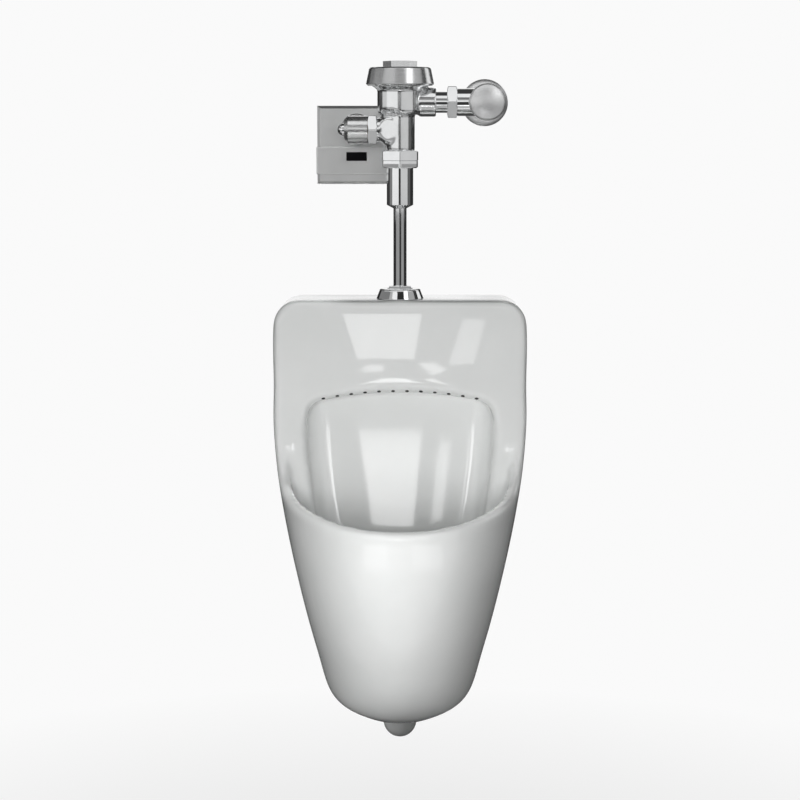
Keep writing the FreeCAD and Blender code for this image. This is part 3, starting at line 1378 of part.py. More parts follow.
screw_slot = box("screw_slot_cut", "screw_slot", "screw_head / 2", "screw_head_radius * 2",
                 ("stop_offset", f"{STOP_Y} - {HEAD_START} - screw_head / 2",
                  f"{SUPPLY_Z} - screw_head_radius"))
node(cut("stop_screw_form", stop_spindle, screw_slot), "stop_screw")
THREAD_HOLE = "(screw_thread_radius + slip)"
PISTON_START = f"({COLLAR_START} - gap - piston_length)"
node(turned("piston_form", tube(THREAD_HOLE, "piston_radius", "piston_length"),
            along_stop(PISTON_START), FRONT), "stop_piston")
node(turned("seat_washer_form", tube(THREAD_HOLE, "seat_washer_radius", "seat_washer"),
            along_stop(f"{PISTON_START} - seat_washer"), FRONT), "stop_seat_washer")
SLEEVE_BORE = "(bonnet_radius + slip)"
CAP_BORE = f"({SLEEVE_BORE} + cap_sleeve_wall + slip)"
node(turned("cap_sleeve_form", tube(SLEEVE_BORE, f"{SLEEVE_BORE} + cap_sleeve_wall", "bonnet_flange - gap"),
            along_stop("stop_length + gap"), FRONT), "cap_sleeve")
CAP_CEILING = "(bonnet_flange + screw_head + 2 * gap)"
CAP_EDGE = f"({CAP_CEILING} + cap_wall)"
node(turned("stop_cap_form", [
    (CAP_BORE, "0"),
    ("cap_radius", "0"),
    ("cap_radius", CAP_EDGE),
    ("cap_face_radius", f"{CAP_EDGE} + cap_bevel",
     "(cap_face_radius * cap_face_radius + cap_dome * cap_dome) / (2 * cap_dome)"),
    ("0", f"{CAP_EDGE} + cap_bevel + cap_dome"),
    ("0", CAP_CEILING),
    (CAP_BORE, CAP_CEILING),
], along_stop("stop_length + gap"), FRONT), "stop_cap")

# Supply through the wall

node(turned("supply_tube_form", tube("supply_tube_bore", "supply_tube_radius", f"-{STOP_Y} - 2 * gap"),
            ("stop_offset", "-gap", SUPPLY_Z), FRONT), "supply_cover_tube")
supply_dish = turned("supply_dish", [
    ("supply_tube_radius + slip", "0"),
    ("supply_flange_radius", "0"),
    ("supply_flange_radius", "supply_flange_edge", "supply_flange_round"),
    ("supply_boss_radius", "supply_flange_depth"),
    ("supply_boss_radius", "supply_boss"),
    ("supply_tube_radius + slip", "supply_boss"),
], ("stop_offset", "0", SUPPLY_Z), FRONT)
SET_SCREW_Y = "-(supply_flange_depth + supply_boss) / 2"
SET_SCREW_BASE = f"({SUPPLY_Z} - supply_boss_radius)"
node(cut("supply_flange_form", supply_dish,
         cylinder("set_screw_hole", "set_screw_radius + slip",
                  f"supply_boss_radius - supply_tube_radius + {OVERCUT}",
                  ("stop_offset", SET_SCREW_Y, f"{SET_SCREW_BASE} - {OVERCUT}"))), "supply_flange")
node(cylinder("set_screw", "set_screw_radius", "supply_boss_radius - supply_tube_radius - 2 * gap",
              ("stop_offset", SET_SCREW_Y, f"{SET_SCREW_BASE} + gap")), "flange_set_screw")

# Check every object, then write one file for each sub-part

doc.recompute()
broken = [item.Name for item in doc.Objects if {"Invalid", "Error"} & set(item.State)]
broken += [item.Label for item in nodes if item.Shape.isNull() or not item.Shape.isValid()]
if broken:
    raise RuntimeError("not built: " + ", ".join(broken))
os.makedirs("parts", exist_ok=True)
for item in nodes:
    item.Shape.exportStep(f"parts/{item.Label}.step")
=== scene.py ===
"""Looks for the wall-hung urinal with its sensor flush valve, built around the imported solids."""
import json
import math

import bmesh
import bpy
import numpy as np
from mathutils import Matrix, Vector

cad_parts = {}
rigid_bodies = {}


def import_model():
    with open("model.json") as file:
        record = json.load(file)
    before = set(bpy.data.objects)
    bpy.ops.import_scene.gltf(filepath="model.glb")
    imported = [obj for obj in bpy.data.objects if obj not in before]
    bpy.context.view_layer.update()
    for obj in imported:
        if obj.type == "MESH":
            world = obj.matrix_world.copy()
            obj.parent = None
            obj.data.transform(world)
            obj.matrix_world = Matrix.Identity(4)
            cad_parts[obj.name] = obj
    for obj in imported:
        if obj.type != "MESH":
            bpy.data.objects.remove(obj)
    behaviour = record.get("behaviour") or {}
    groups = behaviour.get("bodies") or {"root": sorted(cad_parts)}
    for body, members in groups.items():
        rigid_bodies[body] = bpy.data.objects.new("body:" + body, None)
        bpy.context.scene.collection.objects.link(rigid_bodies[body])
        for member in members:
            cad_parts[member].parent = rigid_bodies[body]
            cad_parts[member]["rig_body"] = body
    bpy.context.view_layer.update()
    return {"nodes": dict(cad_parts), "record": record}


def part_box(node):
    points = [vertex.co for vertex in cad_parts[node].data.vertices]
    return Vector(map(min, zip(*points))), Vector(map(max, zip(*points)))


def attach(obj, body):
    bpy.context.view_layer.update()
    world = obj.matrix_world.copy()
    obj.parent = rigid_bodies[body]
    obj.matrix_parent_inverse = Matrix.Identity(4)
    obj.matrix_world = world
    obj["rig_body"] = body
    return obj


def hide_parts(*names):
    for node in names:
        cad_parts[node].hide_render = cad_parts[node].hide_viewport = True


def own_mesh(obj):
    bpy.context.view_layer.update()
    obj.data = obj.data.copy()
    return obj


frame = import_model()
nodes = frame["nodes"]
scene = bpy.context.scene
scene.view_settings.view_transform = "Standard"


# Places taken over from the solids, in metres and to a tenth of a millimetre

PLACE_DIGITS = 4


def middle_of(node_name):
    low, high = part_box(node_name)
    return [round((first + last) / 2, PLACE_DIGITS) for first, last in zip(low, high)]


VALVE_X, VALVE_Y = middle_of("flush_tube")[:2]
SUPPLY_Z = middle_of("tailpiece")[2]
PORT_Z = middle_of("solenoid_housing")[2]
DRAIN_Y = middle_of("drain_strainer")[1]
CHINA_TOP = round(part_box("china_body")[1][2], PLACE_DIGITS)

UPWARD = Vector((0.0, 0.0, 1.0))
SIDEWAYS = Vector((1.0, 0.0, 0.0))
FORWARD = Vector((0.0, -1.0, 0.0))


# Node helpers

def new_material(name):
    material = bpy.data.materials.new(name)
    material.use_nodes = True
    tree = material.node_tree
    return material, tree, tree.nodes["Principled BSDF"]


def bare_material(name):
    """Material with no nodes yet."""
    material = bpy.data.materials.new(name)
    material.use_nodes = True
    material.node_tree.nodes.clear()
    return material, material.node_tree


def add(tree, kind, inputs=None, **settings):
    made = tree.nodes.new(kind)
    for key, value in settings.items():
        setattr(made, key, value)
    for key, value in (inputs or {}).items():
        if isinstance(value, bpy.types.NodeSocket):
            tree.links.new(value, made.inputs[key])
        else:
            made.inputs[key].default_value = value
    return made


def place_on(tree, stretch, slant):
    """Object coordinates, stretched along the axes and turned about the one that points at the wall."""
    where = add(tree, "ShaderNodeTexCoord")
    turn = (0.0, math.radians(slant), 0.0)
    made = add(tree, "ShaderNodeMapping",
               {"Vector": where.outputs["Object"], "Scale": stretch, "Rotation": turn})
    return made.outputs["Vector"]


def noise(tree, where, scale, detail=3.0, roughness=0.55):
    made = add(tree, "ShaderNodeTexNoise",
               {"Vector": where, "Scale": scale, "Detail": detail, "Roughness": roughness})
    return made.outputs["Fac"]


def spread(tree, value, low, high, start=0.3, end=0.7):
    made = add(tree, "ShaderNodeMapRange",
               {"Value": value, "From Min": start, "From Max": end, "To Min": low, "To Max": high})
    return made.outputs["Result"]


def two_tone(tree, value, dark, light, start=0.35, end=0.65):
    ramp = add(tree, "ShaderNodeValToRGB", {"Fac": value})
    ramp.color_ramp.elements[0].position = start
    ramp.color_ramp.elements[0].color = (*dark, 1.0)
    ramp.color_ramp.elements[1].position = end
    ramp.color_ramp.elements[1].color = (*light, 1.0)
    return ramp.outputs["Color"]


def relief(tree, height, strength, distance):
    made = add(tree, "ShaderNodeBump", {"Height": height, "Strength": strength, "Distance": distance})
    return made.outputs["Normal"]


def mixed_by(tree, share, first, second):
    """First shader where the share is 0, second where it is 1."""
    made = add(tree, "ShaderNodeMixShader", {0: share})
    tree.links.new(first.outputs[0], made.inputs[1])
    tree.links.new(second.outputs[0], made.inputs[2])
    return made.outputs[0]


# Materials

GRAIN_PER_CLOUD = 6.0
FINE_DETAIL, FINE_ROUGHNESS = 4.0, 0.65
CHROME_RELIEF = 0.00005


def finish(name, dark, light, rough, scale, stretch=(1.0, 1.0, 1.0), slant=0.0, metallic=0.0, grain=None,
           bump=0.0, bump_depth=0.0, fixed=None):
    """Procedural finish: a two-tone colour, a varied roughness and a fine relief, all from noise."""
    material, tree, shader = new_material(name)
    where = place_on(tree, stretch, slant)
    cloud = noise(tree, where, scale)
    fine = noise(tree, where, grain or scale * GRAIN_PER_CLOUD, FINE_DETAIL, FINE_ROUGHNESS)
    tree.links.new(two_tone(tree, cloud, dark, light), shader.inputs["Base Color"])
    tree.links.new(spread(tree, fine, rough[0], rough[1]), shader.inputs["Roughness"])
    if bump:
        tree.links.new(relief(tree, fine, bump, bump_depth), shader.inputs["Normal"])
    shader.inputs["Metallic"].default_value = metallic
    for key, value in (fixed or {}).items():
        shader.inputs[key].default_value = value
    return material


def chrome(name, **how):
    """Chrome finish, with a very shallow relief."""
    return finish(name, metallic=1.0, bump_depth=CHROME_RELIEF, **how)


GLAZE = finish("glaze", dark=(0.745, 0.758, 0.750), light=(0.775, 0.785, 0.778),
               rough=(0.02, 0.04), scale=9.0, grain=260.0, bump=0.03, bump_depth=0.0004,
               fixed={"Coat Weight": 0.35, "Coat Roughness": 0.02, "IOR": 1.52})
CHROME = chrome("polished_chrome", dark=(0.80, 0.81, 0.815), light=(0.86, 0.865, 0.87),
                rough=(0.03, 0.06), scale=30.0, grain=900.0, bump=0.01)
CAST = chrome("cast_chrome", dark=(0.80, 0.81, 0.815), light=(0.86, 0.865, 0.87),
              rough=(0.13, 0.17), scale=25.0, grain=700.0, bump=0.01)
SPUN = chrome("spun_chrome", dark=(0.78, 0.785, 0.79), light=(0.82, 0.825, 0.83),
              rough=(0.20, 0.25), scale=12.0, grain=60.0, bump=0.004, stretch=(1.0, 1.0, 12.0))
TURNED = chrome("turned_chrome", dark=(0.76, 0.765, 0.765), light=(0.82, 0.825, 0.83),
                rough=(0.36, 0.42), scale=30.0, grain=220.0, bump=0.02)
# Satin chrome for the wall plate and sensor cover: its colour goes lighter and darker in broad slanted
# patches, a painted reflection of soft lights over the satin grain
SATIN_PAINTED_SHEEN = chrome("satin_chrome", dark=(0.74, 0.75, 0.745), light=(0.95, 0.955, 0.95),
               rough=(0.28, 0.34), scale=7.0, grain=160.0, bump=0.008, stretch=(1.0, 1.0, 0.6), slant=40.0)
BRUSHED = chrome("brushed_chrome", dark=(0.74, 0.745, 0.745), light=(0.82, 0.825, 0.825),
                 rough=(0.22, 0.30), scale=20.0, grain=50.0, bump=0.008, stretch=(1.0, 25.0, 25.0))
BRASS = finish("raw_brass", dark=(0.55, 0.38, 0.14), light=(0.70, 0.50, 0.22),
               rough=(0.22, 0.40), scale=40.0, grain=400.0, metallic=1.0, bump=0.05, bump_depth=0.0001)
STEEL = finish("plated_steel", dark=(0.42, 0.43, 0.44), light=(0.56, 0.57, 0.58),
               rough=(0.25, 0.42), scale=45.0, grain=500.0, metallic=1.0, bump=0.05, bump_depth=0.0001)
IRON = finish("cast_iron", dark=(0.030, 0.031, 0.033), light=(0.060, 0.062, 0.066),
              rough=(0.55, 0.78), scale=60.0, grain=700.0, metallic=0.4, bump=0.35, bump_depth=0.0004)
RUBBER = finish("black_rubber", dark=(0.012, 0.012, 0.012), light=(0.026, 0.026, 0.027),
                rough=(0.55, 0.75), scale=80.0, grain=900.0, bump=0.12, bump_depth=0.0001)
PLASTIC = finish("black_plastic", dark=(0.014, 0.014, 0.016), light=(0.030, 0.030, 0.033),
                 rough=(0.30, 0.45), scale=90.0, grain=1100.0, bump=0.10, bump_depth=0.0001)
# Painted shade: dark glaze on the spray holes' walls, for the shade inside the holes
HOLE_SHADE = finish("hole_shade", dark=(0.055, 0.057, 0.056), light=(0.085, 0.087, 0.086),
              rough=(0.30, 0.45), scale=40.0)
WINDOW = finish("black_window", dark=(0.0015, 0.0015, 0.002), light=(0.004, 0.004, 0.005),
                rough=(0.04, 0.09), scale=60.0, grain=500.0,
                fixed={"Coat Weight": 0.5, "Coat Roughness": 0.02})
COIL = finish("wound_coil", dark=(0.22, 0.08, 0.03), light=(0.40, 0.17, 0.06),
              rough=(0.35, 0.55), scale=30.0, grain=40.0, bump=0.30, bump_depth=0.0003,
              stretch=(40.0, 1.0, 1.0))

BY_SLOT = {"china": GLAZE, "polished_chrome": CHROME, "satin_chrome": SATIN_PAINTED_SHEEN, "raw_brass": BRASS,
           "steel": STEEL, "cast_iron": IRON, "rubber": RUBBER, "black_plastic": PLASTIC,
           "black_window": WINDOW, "coil": COIL}
SLOT_OF = {entry["node"]: entry["material_slot"] for entry in frame["record"]["subparts"]}
for node_name, node_object in nodes.items():
    node_object.data.materials.clear()
    node_object.data.materials.append(BY_SLOT[SLOT_OF[node_name]])


# Mesh helpers

RING_STEPS = 256
MERGE_DISTANCE = 2e-6
NO_SIZE = 1e-6
FLAT_DEGREES = 0.4
EDGE_ROUND = 0.0004
EDGE_STEPS = 2
CREASE_DEGREES = 32.0
LARGE_FACE_WEIGHT = 80
SOFT_FACTOR = 0.5


def meshed(name, shape):
    """Mesh from an edit mesh, which is freed."""
    mesh = bpy.data.meshes.new(name)
    shape.to_mesh(mesh)
    shape.free()
    return mesh


def linked(name, mesh):
    piece = bpy.data.objects.new(name, mesh)
    scene.collection.objects.link(piece)
    return piece


def baked(piece):
    """Applies the piece's modifiers to its mesh."""
    bpy.context.view_layer.update()
    graph = bpy.context.evaluated_depsgraph_get()
    mesh = bpy.data.meshes.new_from_object(piece.evaluated_get(graph))
    old = piece.data
    piece.modifiers.clear()
    piece.data = mesh
    bpy.data.meshes.remove(old)


def wholly_smooth(mesh):
    mesh.polygons.foreach_set("use_smooth", [True] * len(mesh.polygons))


def smooth_shaded(piece, degrees):
    """Smooth faces with sharp edges above an angle, and normals that follow the larger faces."""
    mesh = piece.data
    wholly_smooth(mesh)
    mesh.set_sharp_from_angle(angle=math.radians(degrees))
    mesh.update()
    even = piece.modifiers.new("even_normals", "WEIGHTED_NORMAL")
    even.mode = "FACE_AREA"
    even.weight = LARGE_FACE_WEIGHT
    even.keep_sharp = True
    baked(piece)


def evened(piece, size):
    """Makes the piece's faces over as an even mesh of one outer skin."""
    even = piece.modifiers.new("even", "REMESH")
    even.mode = "VOXEL"
    even.voxel_size = size
    baked(piece)


def joined(piece, tool, operation):
    """Joins the tool to the piece, or cuts it out, and deletes it."""
    step = piece.modifiers.new("join", "BOOLEAN")
    step.operation = operation
    step.solver = "EXACT"
    step.material_mode = "TRANSFER"
    step.object = tool
    baked(piece)
    mesh = tool.data
    bpy.data.objects.remove(tool)
    bpy.data.meshes.remove(mesh)


def ring_faces(shape, rows):
    """Faces between neighbouring rings of points, and from the last ring back to the first."""
    for lower, upper in zip(rows, rows[1:] + rows[:1]):
        for index in range(len(lower)):
            after = (index + 1) % len(lower)
            shape.faces.new((lower[index], lower[after], upper[after], upper[index]))


def turned_shell(name, profile, centre):
    """Closed form from a profile of (height, radius) points, turned round an upright axis."""
    shape = bmesh.new()
    side = UPWARD.cross(FORWARD)
    rows = []
    for height, radius in profile:
        row = []
        for step in range(RING_STEPS):
            angle = 2.0 * math.pi * step / RING_STEPS
            out = FORWARD * math.cos(angle) + side * math.sin(angle)
            row.append(shape.verts.new(centre + UPWARD * height + out * radius))
        rows.append(row)
    ring_faces(shape, rows)
    bmesh.ops.recalc_face_normals(shape, faces=shape.faces)
    return linked(name, meshed(name, shape))


def points_of(piece):
    points = np.empty(len(piece.data.vertices) * 3)
    piece.data.vertices.foreach_get("co", points)
    return points.reshape(-1, 3)


def set_points(piece, points):
    piece.data.vertices.foreach_set("co", points.ravel())


def rise(value, start, end):
    """Smooth step from 0 at the start to 1 at the end."""
    share = np.clip((value - start) / (end - start), 0.0, 1.0)
    return share * share * (3.0 - 2.0 * share)


def within(value, opens, closes):
    """Smooth step up over the first range and down again over the second."""
    return rise(value, *opens) * (1.0 - rise(value, *closes))


def weighted_softening(piece, name, shares, rounds):
    """Smooths the piece's points, each by its own share."""
    group = piece.vertex_groups.new(name=name)
    for index, share in enumerate(shares):
        if share > 0.0:
            group.add([index], float(share), "REPLACE")
    soft = piece.modifiers.new(name, "SMOOTH")
    soft.factor = SOFT_FACTOR
    soft.iterations = rounds
    soft.vertex_group = name
    baked(piece)
    piece.vertex_groups.clear()


def body_of(node_name):
    return nodes[node_name]["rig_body"]


def stands_for(piece, node_name):
    """The piece moves with the node's body and is shown in its place."""
    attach(piece, body_of(node_name))
    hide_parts(node_name)


def dressed(node_name, material):
    """Piece in the place of a node: its faces joined into whole panels and its sharp edges rounded."""
    mesh = nodes[node_name].data.copy()
    mesh.materials.clear()
    mesh.materials.append(material)
    shape = bmesh.new()
    shape.from_mesh(mesh)
    bmesh.ops.remove_doubles(shape, verts=shape.verts, dist=MERGE_DISTANCE)
    bmesh.ops.dissolve_degenerate(shape, edges=shape.edges, dist=NO_SIZE)
    bmesh.ops.dissolve_limit(shape, angle_limit=math.radians(FLAT_DEGREES),
                             verts=shape.verts, edges=shape.edges)
    bmesh.ops.recalc_face_normals(shape, faces=shape.faces)
    for face in shape.faces:
        face.material_index = 0
    shape.to_mesh(mesh)
    shape.free()
    if mesh.has_custom_normals:
        mesh.normals_split_custom_set([(0.0, 0.0, 0.0)] * len(mesh.loops))
    piece = linked(node_name + "_shown", mesh)
    rounding = piece.modifiers.new("edges", "BEVEL")
    rounding.width = EDGE_ROUND
    rounding.segments = EDGE_STEPS
    rounding.limit_method = "ANGLE"
    rounding.angle_limit = math.radians(CREASE_DEGREES)
    rounding.use_clamp_overlap = True
    baked(piece)
    smooth_shaded(piece, CREASE_DEGREES)
    stands_for(piece, node_name)


# China body, with edges as soft as a glaze makes them

# Spray holes, and the wider plugs that close the solid's own holes until they are cut again
PANEL_Y = -0.115
SPRAY_COUNT = 12
SPRAY_PITCH = 0.020
SPRAY_RADIUS = 0.0028
SPRAY_ARCH = 0.560
SPRAY_LEVEL = 0.62
SPRAY_WAY = Vector((0.0, 1.0, 1.0)).normalized()
SPRAY_SIDES = 24
SPRAY_BEFORE, SPRAY_BEHIND = 0.012, 0.016
PLUG_SPARE = 0.0006
PLUG_BEFORE, PLUG_BEHIND = 0.0002, 0.012
LEDGE_SLANT = 0.008
RECESS_TOP = 0.406

# Hood over the trap's rising leg: its profile, as (height, radius), and the box that cuts its back open
RISER_Y = -0.072
HOOD_BACK = -0.060
HOOD_BOX = 0.08
HOOD = [(-0.040, 0.0165), (-0.040, 0.0212), (0.010, 0.0212), (0.017, 0.0198), (0.022, 0.0160),
        (0.0245, 0.0100), (0.0252, 0.0002), (0.0190, 0.0002), (0.0180, 0.0090), (0.0150, 0.0140),
        (0.0110, 0.0165)]

# The recess wall leans between these heights, and over these ranges its lean sets in or dies out
LEAN_TOP, LEAN_FOOT = 0.385, 0.180
LEAN_RATE = 0.50
LEAN_DEPTH = (-0.125, -0.090), (-0.045, -0.030)
LEAN_ACROSS = (0.120, 0.150)
LEAN_HEIGHT = (0.02, 0.12)

# Softening sets in over these ranges: distances from an axis, heights, or distances from the wall
GLAZE_VOXEL = 0.0028
GLAZE_ROUNDS = 30
GLAZE_CREASE_DEGREES = 40.0
SPUD_AROUND, SPUD_HEIGHT = (0.036, 0.046), (0.50, 0.52)
DRAIN_AROUND, DRAIN_HEIGHT = (0.034, 0.044), (-0.020, -0.010)
OUTLET_AROUND, OUTLET_DEPTH = (0.050, 0.060), (0.010, 0.020)
WALL_DEPTH = (0.004, 0.016)

# Hanger rooms, which aren't softened
HANGER_ACROSS = (0.058, 0.164)
HANGER_FRONT = -0.096
HANGER_HEIGHT = (0.425, 0.513)

# Upright edges of the recess, which are softened once more: ranges where that sets in and dies out
RECESS_ROUNDS = 110
RECESS_ACROSS = (0.110, 0.122), (0.150, 0.170)
RECESS_DEPTH = (-0.160, -0.140), (-0.058, -0.050)
RECESS_HEIGHT = (0.08, 0.16), (0.350, 0.390)


def spray_rods(radius, before, behind):
    """Rods along the spray holes, as one mesh."""
    shape = bmesh.new()
    turn = SPRAY_WAY.to_track_quat("Z", "Y").to_matrix().to_4x4()
    for index in range(SPRAY_COUNT):
        x = SPRAY_PITCH * (index - (SPRAY_COUNT - 1) / 2)
        drop = SPRAY_ARCH - math.sqrt(SPRAY_ARCH ** 2 - x ** 2)
        y = PANEL_Y + LEDGE_SLANT * SPRAY_LEVEL
        z = RECESS_TOP + LEDGE_SLANT * (1.0 - SPRAY_LEVEL) - drop
        middle = Vector((x, y, z)) + SPRAY_WAY * (behind - before) / 2
        bmesh.ops.create_cone(shape, cap_ends=True, segments=SPRAY_SIDES, radius1=radius, radius2=radius,
                              depth=before + behind, matrix=Matrix.Translation(middle) @ turn)
    mesh = meshed("spray_rods", shape)
    # The rods' dark material passes to the walls they cut, as painted shade in the holes
    mesh.materials.append(HOLE_SHADE)
    return linked("spray_rods", mesh)


def trap_hood():
    """Rounded hood over the rising leg of the trap, open towards the outlet."""
    hood = turned_shell("trap_hood", HOOD, Vector((0.0, RISER_Y, 0.0)))
    shape = bmesh.new()
    middle = (0.0, HOOD_BACK + HOOD_BOX / 2, 0.0)
    bmesh.ops.create_cube(shape, size=HOOD_BOX, matrix=Matrix.Translation(middle))
    joined(hood, linked("hood_back", meshed("hood_back", shape)), "DIFFERENCE")
    return hood


def leaning(points):
    """How far the recess wall comes forward towards the bowl, growing downwards."""
    x, y, z = points.T
    below = np.clip(LEAN_TOP - z, 0.0, LEAN_TOP - LEAN_FOOT)
    inside = within(y, *LEAN_DEPTH) * (1.0 - rise(np.abs(x), *LEAN_ACROSS))
    return LEAN_RATE * below ** 2 * inside * rise(z, *LEAN_HEIGHT)


def softness(points):
    """How far the china is softened: not in the hanger rooms, or around spud, drain and outlet."""
    x, y, z = points.T
    spud = np.hypot(x - VALVE_X, y - VALVE_Y)
    from_spud = np.maximum(rise(spud, *SPUD_AROUND), 1.0 - rise(z, *SPUD_HEIGHT))
    drain = np.hypot(x, y - DRAIN_Y)
    from_drain = np.maximum(rise(drain, *DRAIN_AROUND), rise(z, *DRAIN_HEIGHT))
    outlet = np.hypot(x, z)
    from_outlet = np.maximum(rise(outlet, *OUTLET_AROUND), rise(-y, *OUTLET_DEPTH))
    across = (np.abs(x) > HANGER_ACROSS[0]) & (np.abs(x) < HANGER_ACROSS[1])
    room = across & (y > HANGER_FRONT) & (z > HANGER_HEIGHT[0]) & (z < HANGER_HEIGHT[1])
    return from_spud * from_drain * from_outlet * np.where(room, 0.0, 1.0)


def recess_edge(points):
    """How far the upright edges of the recess are softened once more."""
    x, y, z = points.T
    return within(np.abs(x), *RECESS_ACROSS) * within(y, *RECESS_DEPTH) * within(z, *RECESS_HEIGHT)


def china_piece():
    """China with its holes plugged and its trap hooded, then evened, leaned, softened and cut again."""
    shape = bmesh.new()
    shape.from_mesh(nodes["china_body"].data)
    bmesh.ops.remove_doubles(shape, verts=shape.verts, dist=MERGE_DISTANCE)
    mesh = meshed("china_glazed", shape)
    mesh.materials.append(GLAZE)
    piece = linked("china_glazed", mesh)
    joined(piece, spray_rods(SPRAY_RADIUS + PLUG_SPARE, PLUG_BEFORE, PLUG_BEHIND), "UNION")
    joined(piece, trap_hood(), "UNION")
    evened(piece, GLAZE_VOXEL)
    points = points_of(piece)
    points[:, 1] -= leaning(points)
    set_points(piece, points)
    weighted_softening(piece, "soft", softness(points), GLAZE_ROUNDS)
    weighted_softening(piece, "recess", recess_edge(points), RECESS_ROUNDS)
    softened = points_of(piece)
    at_wall = 1.0 - rise(-points[:, 1], *WALL_DEPTH)
    softened[:, 1] += (points[:, 1] - softened[:, 1]) * at_wall
    set_points(piece, softened)
    piece.data.materials.clear()
    piece.data.materials.append(GLAZE)
    joined(piece, spray_rods(SPRAY_RADIUS, SPRAY_BEFORE, SPRAY_BEHIND), "DIFFERENCE")
    wholly_smooth(piece.data)
    piece.data.set_sharp_from_angle(angle=math.radians(GLAZE_CREASE_DEGREES))
    stands_for(piece, "china_body")


china_piece()


# Valve body, as soft as a casting, with a branch that flares out of its barrel

# Rings of the flare: place along the port, half depth, half height, and squareness, which is ROUND or more
ROUND = 2.0
BRANCH = [(-0.002, 0.0211, 0.0200, 6.0), (-0.010, 0.0199, 0.0200, 6.0), (-0.018, 0.0183, 0.0197, 5.0),
          (-0.024, 0.0170, 0.0186, 4.0), (-0.028, 0.0166, 0.0172, 3.0), (-0.031, 0.0165, 0.0165, ROUND)]
BRANCH_BORE = 0.0125
BULB_RADIUS = 0.0250
BARREL_ROOM = 0.0185
BARREL_ROOM_HALF = 0.05
NEAR_AXIS = 0.0001
CAST_VOXEL = 0.0008
CAST_ROUNDS = 30
SHOULDER_ROUNDS = 60
SHOULDER_ACROSS = (0.004, 0.012)
SHOULDER_HEIGHT = (0.026, 0.034)
PORT = Vector((VALVE_X, VALVE_Y, PORT_Z))


def flared_branch():
    """Flare from the barrel to the solenoid: nearly flat in front, round at its end, and bored through."""
    bore = [(ring[0], BRANCH_BORE, BRANCH_BORE, ROUND) for ring in (BRANCH[-1], BRANCH[0])]
    shape = bmesh.new()
    rows = []
    for along, depth, height, squareness in BRANCH + bore:
        row = []
        for step in range(RING_STEPS):
            angle = 2.0 * math.pi * step / RING_STEPS
            across, up = math.cos(angle), math.sin(angle)
            y = math.copysign(abs(across) ** (ROUND / squareness), across) * depth
            z = math.copysign(abs(up) ** (ROUND / squareness), up) * height
            row.append(shape.verts.new(PORT + Vector((along, y, z))))
        rows.append(row)
    ring_faces(shape, rows)
    bmesh.ops.recalc_face_normals(shape, faces=shape.faces)
    branch = linked("valve_branch", meshed("valve_branch", shape))
    room = [(-BARREL_ROOM_HALF, BARREL_ROOM), (BARREL_ROOM_HALF, BARREL_ROOM),
            (BARREL_ROOM_HALF, NEAR_AXIS), (-BARREL_ROOM_HALF, NEAR_AXIS)]
    joined(branch, turned_shell("barrel_room", room, PORT), "DIFFERENCE")
    return branch


def flatten_branch(points):
    """Presses the port's bulb, in front and behind, down to the depth of the flare."""
    x, y, z = points.T
    depth = np.interp(-x, [-ring[0] for ring in BRANCH], [ring[1] for ring in BRANCH])
    near = (x < BRANCH[0][0]) & (x > BRANCH[-1][0]) & (np.abs(z - PORT_Z) < BULB_RADIUS)
    points[:, 1] = np.where(near, np.clip(y, VALVE_Y - depth, VALVE_Y + depth), y)


def shoulder(points):
    """How far the flare and its surroundings are softened."""
    x, z = points[:, 0], points[:, 2]
    return rise(-x, *SHOULDER_ACROSS) * (1.0 - rise(np.abs(z - PORT_Z), *SHOULDER_HEIGHT))


def valve_piece():
    """Valve body with its branch, evened out, pressed to the flare and softened."""
    branch = flared_branch()
    shape = bmesh.new()
    shape.from_mesh(nodes["valve_body"].data)
    bmesh.ops.remove_doubles(shape, verts=shape.verts, dist=MERGE_DISTANCE)
    shape.from_mesh(branch.data)
    bpy.data.objects.remove(branch)
    piece = linked("valve_body_shown", meshed("valve_body_shown", shape))
    evened(piece, CAST_VOXEL)
    points = points_of(piece)
    flatten_branch(points)
    set_points(piece, points)
    weighted_softening(piece, "shoulder", shoulder(points), SHOULDER_ROUNDS)
    weighted_softening(piece, "all_over", np.ones(len(points)), CAST_ROUNDS)
    piece.data.materials.clear()
    piece.data.materials.append(CAST)
    piece.data.polygons.foreach_set("material_index", [0] * len(piece.data.polygons))
    wholly_smooth(piece.data)
    stands_for(piece, "valve_body")


valve_piece()


# Tubes and other polished pieces

POLISHED = ["spud_flange", "flush_tube", "tailpiece", "stop_body", "supply_cover_tube", "override_button",
            "conduit_tube", "conduit_collar"]
for node_name in POLISHED:
    dressed(node_name, CHROME)


# Coupling nuts: corners rounded, ends chamfered, and a groove where a nut is banded

NUT_SIDES = 6
SIDE_DEGREES = 360.0 / NUT_SIDES
CORNER_STEPS = 6
NUT_CHAMFER = 0.075
NUT_END = 0.975
NUT_LIP = 0.0025
NUT_CREASE_DEGREES = 28.0
END_BAND = 1e-4
GROOVE_EDGE = 0.0005
GROOVE_SIZE = 0.955

# Bands along a nut: start and end as shares of its length, and size as a share of its own
WHOLE = [(0.0, 1.0, 1.0)]
BANDED = [(0.0, 0.40, 0.985), (0.44, 1.0, 1.0)]


def hexagon_ring(apothem, corner):
    """Points of a hexagon with rounded corners; with a corner as large as the apothem, of a circle."""
    points = []
    reach = (apothem - corner) / math.cos(math.radians(SIDE_DEGREES / 2))
    for index in range(NUT_SIDES):
        way = math.radians(SIDE_DEGREES * index)
        for step in range(CORNER_STEPS + 1):
            turn = way + math.radians(SIDE_DEGREES * step / CORNER_STEPS - SIDE_DEGREES / 2)
            points.append((reach * math.cos(way) + corner * math.cos(turn),
                           reach * math.sin(way) + corner * math.sin(turn)))
    return points


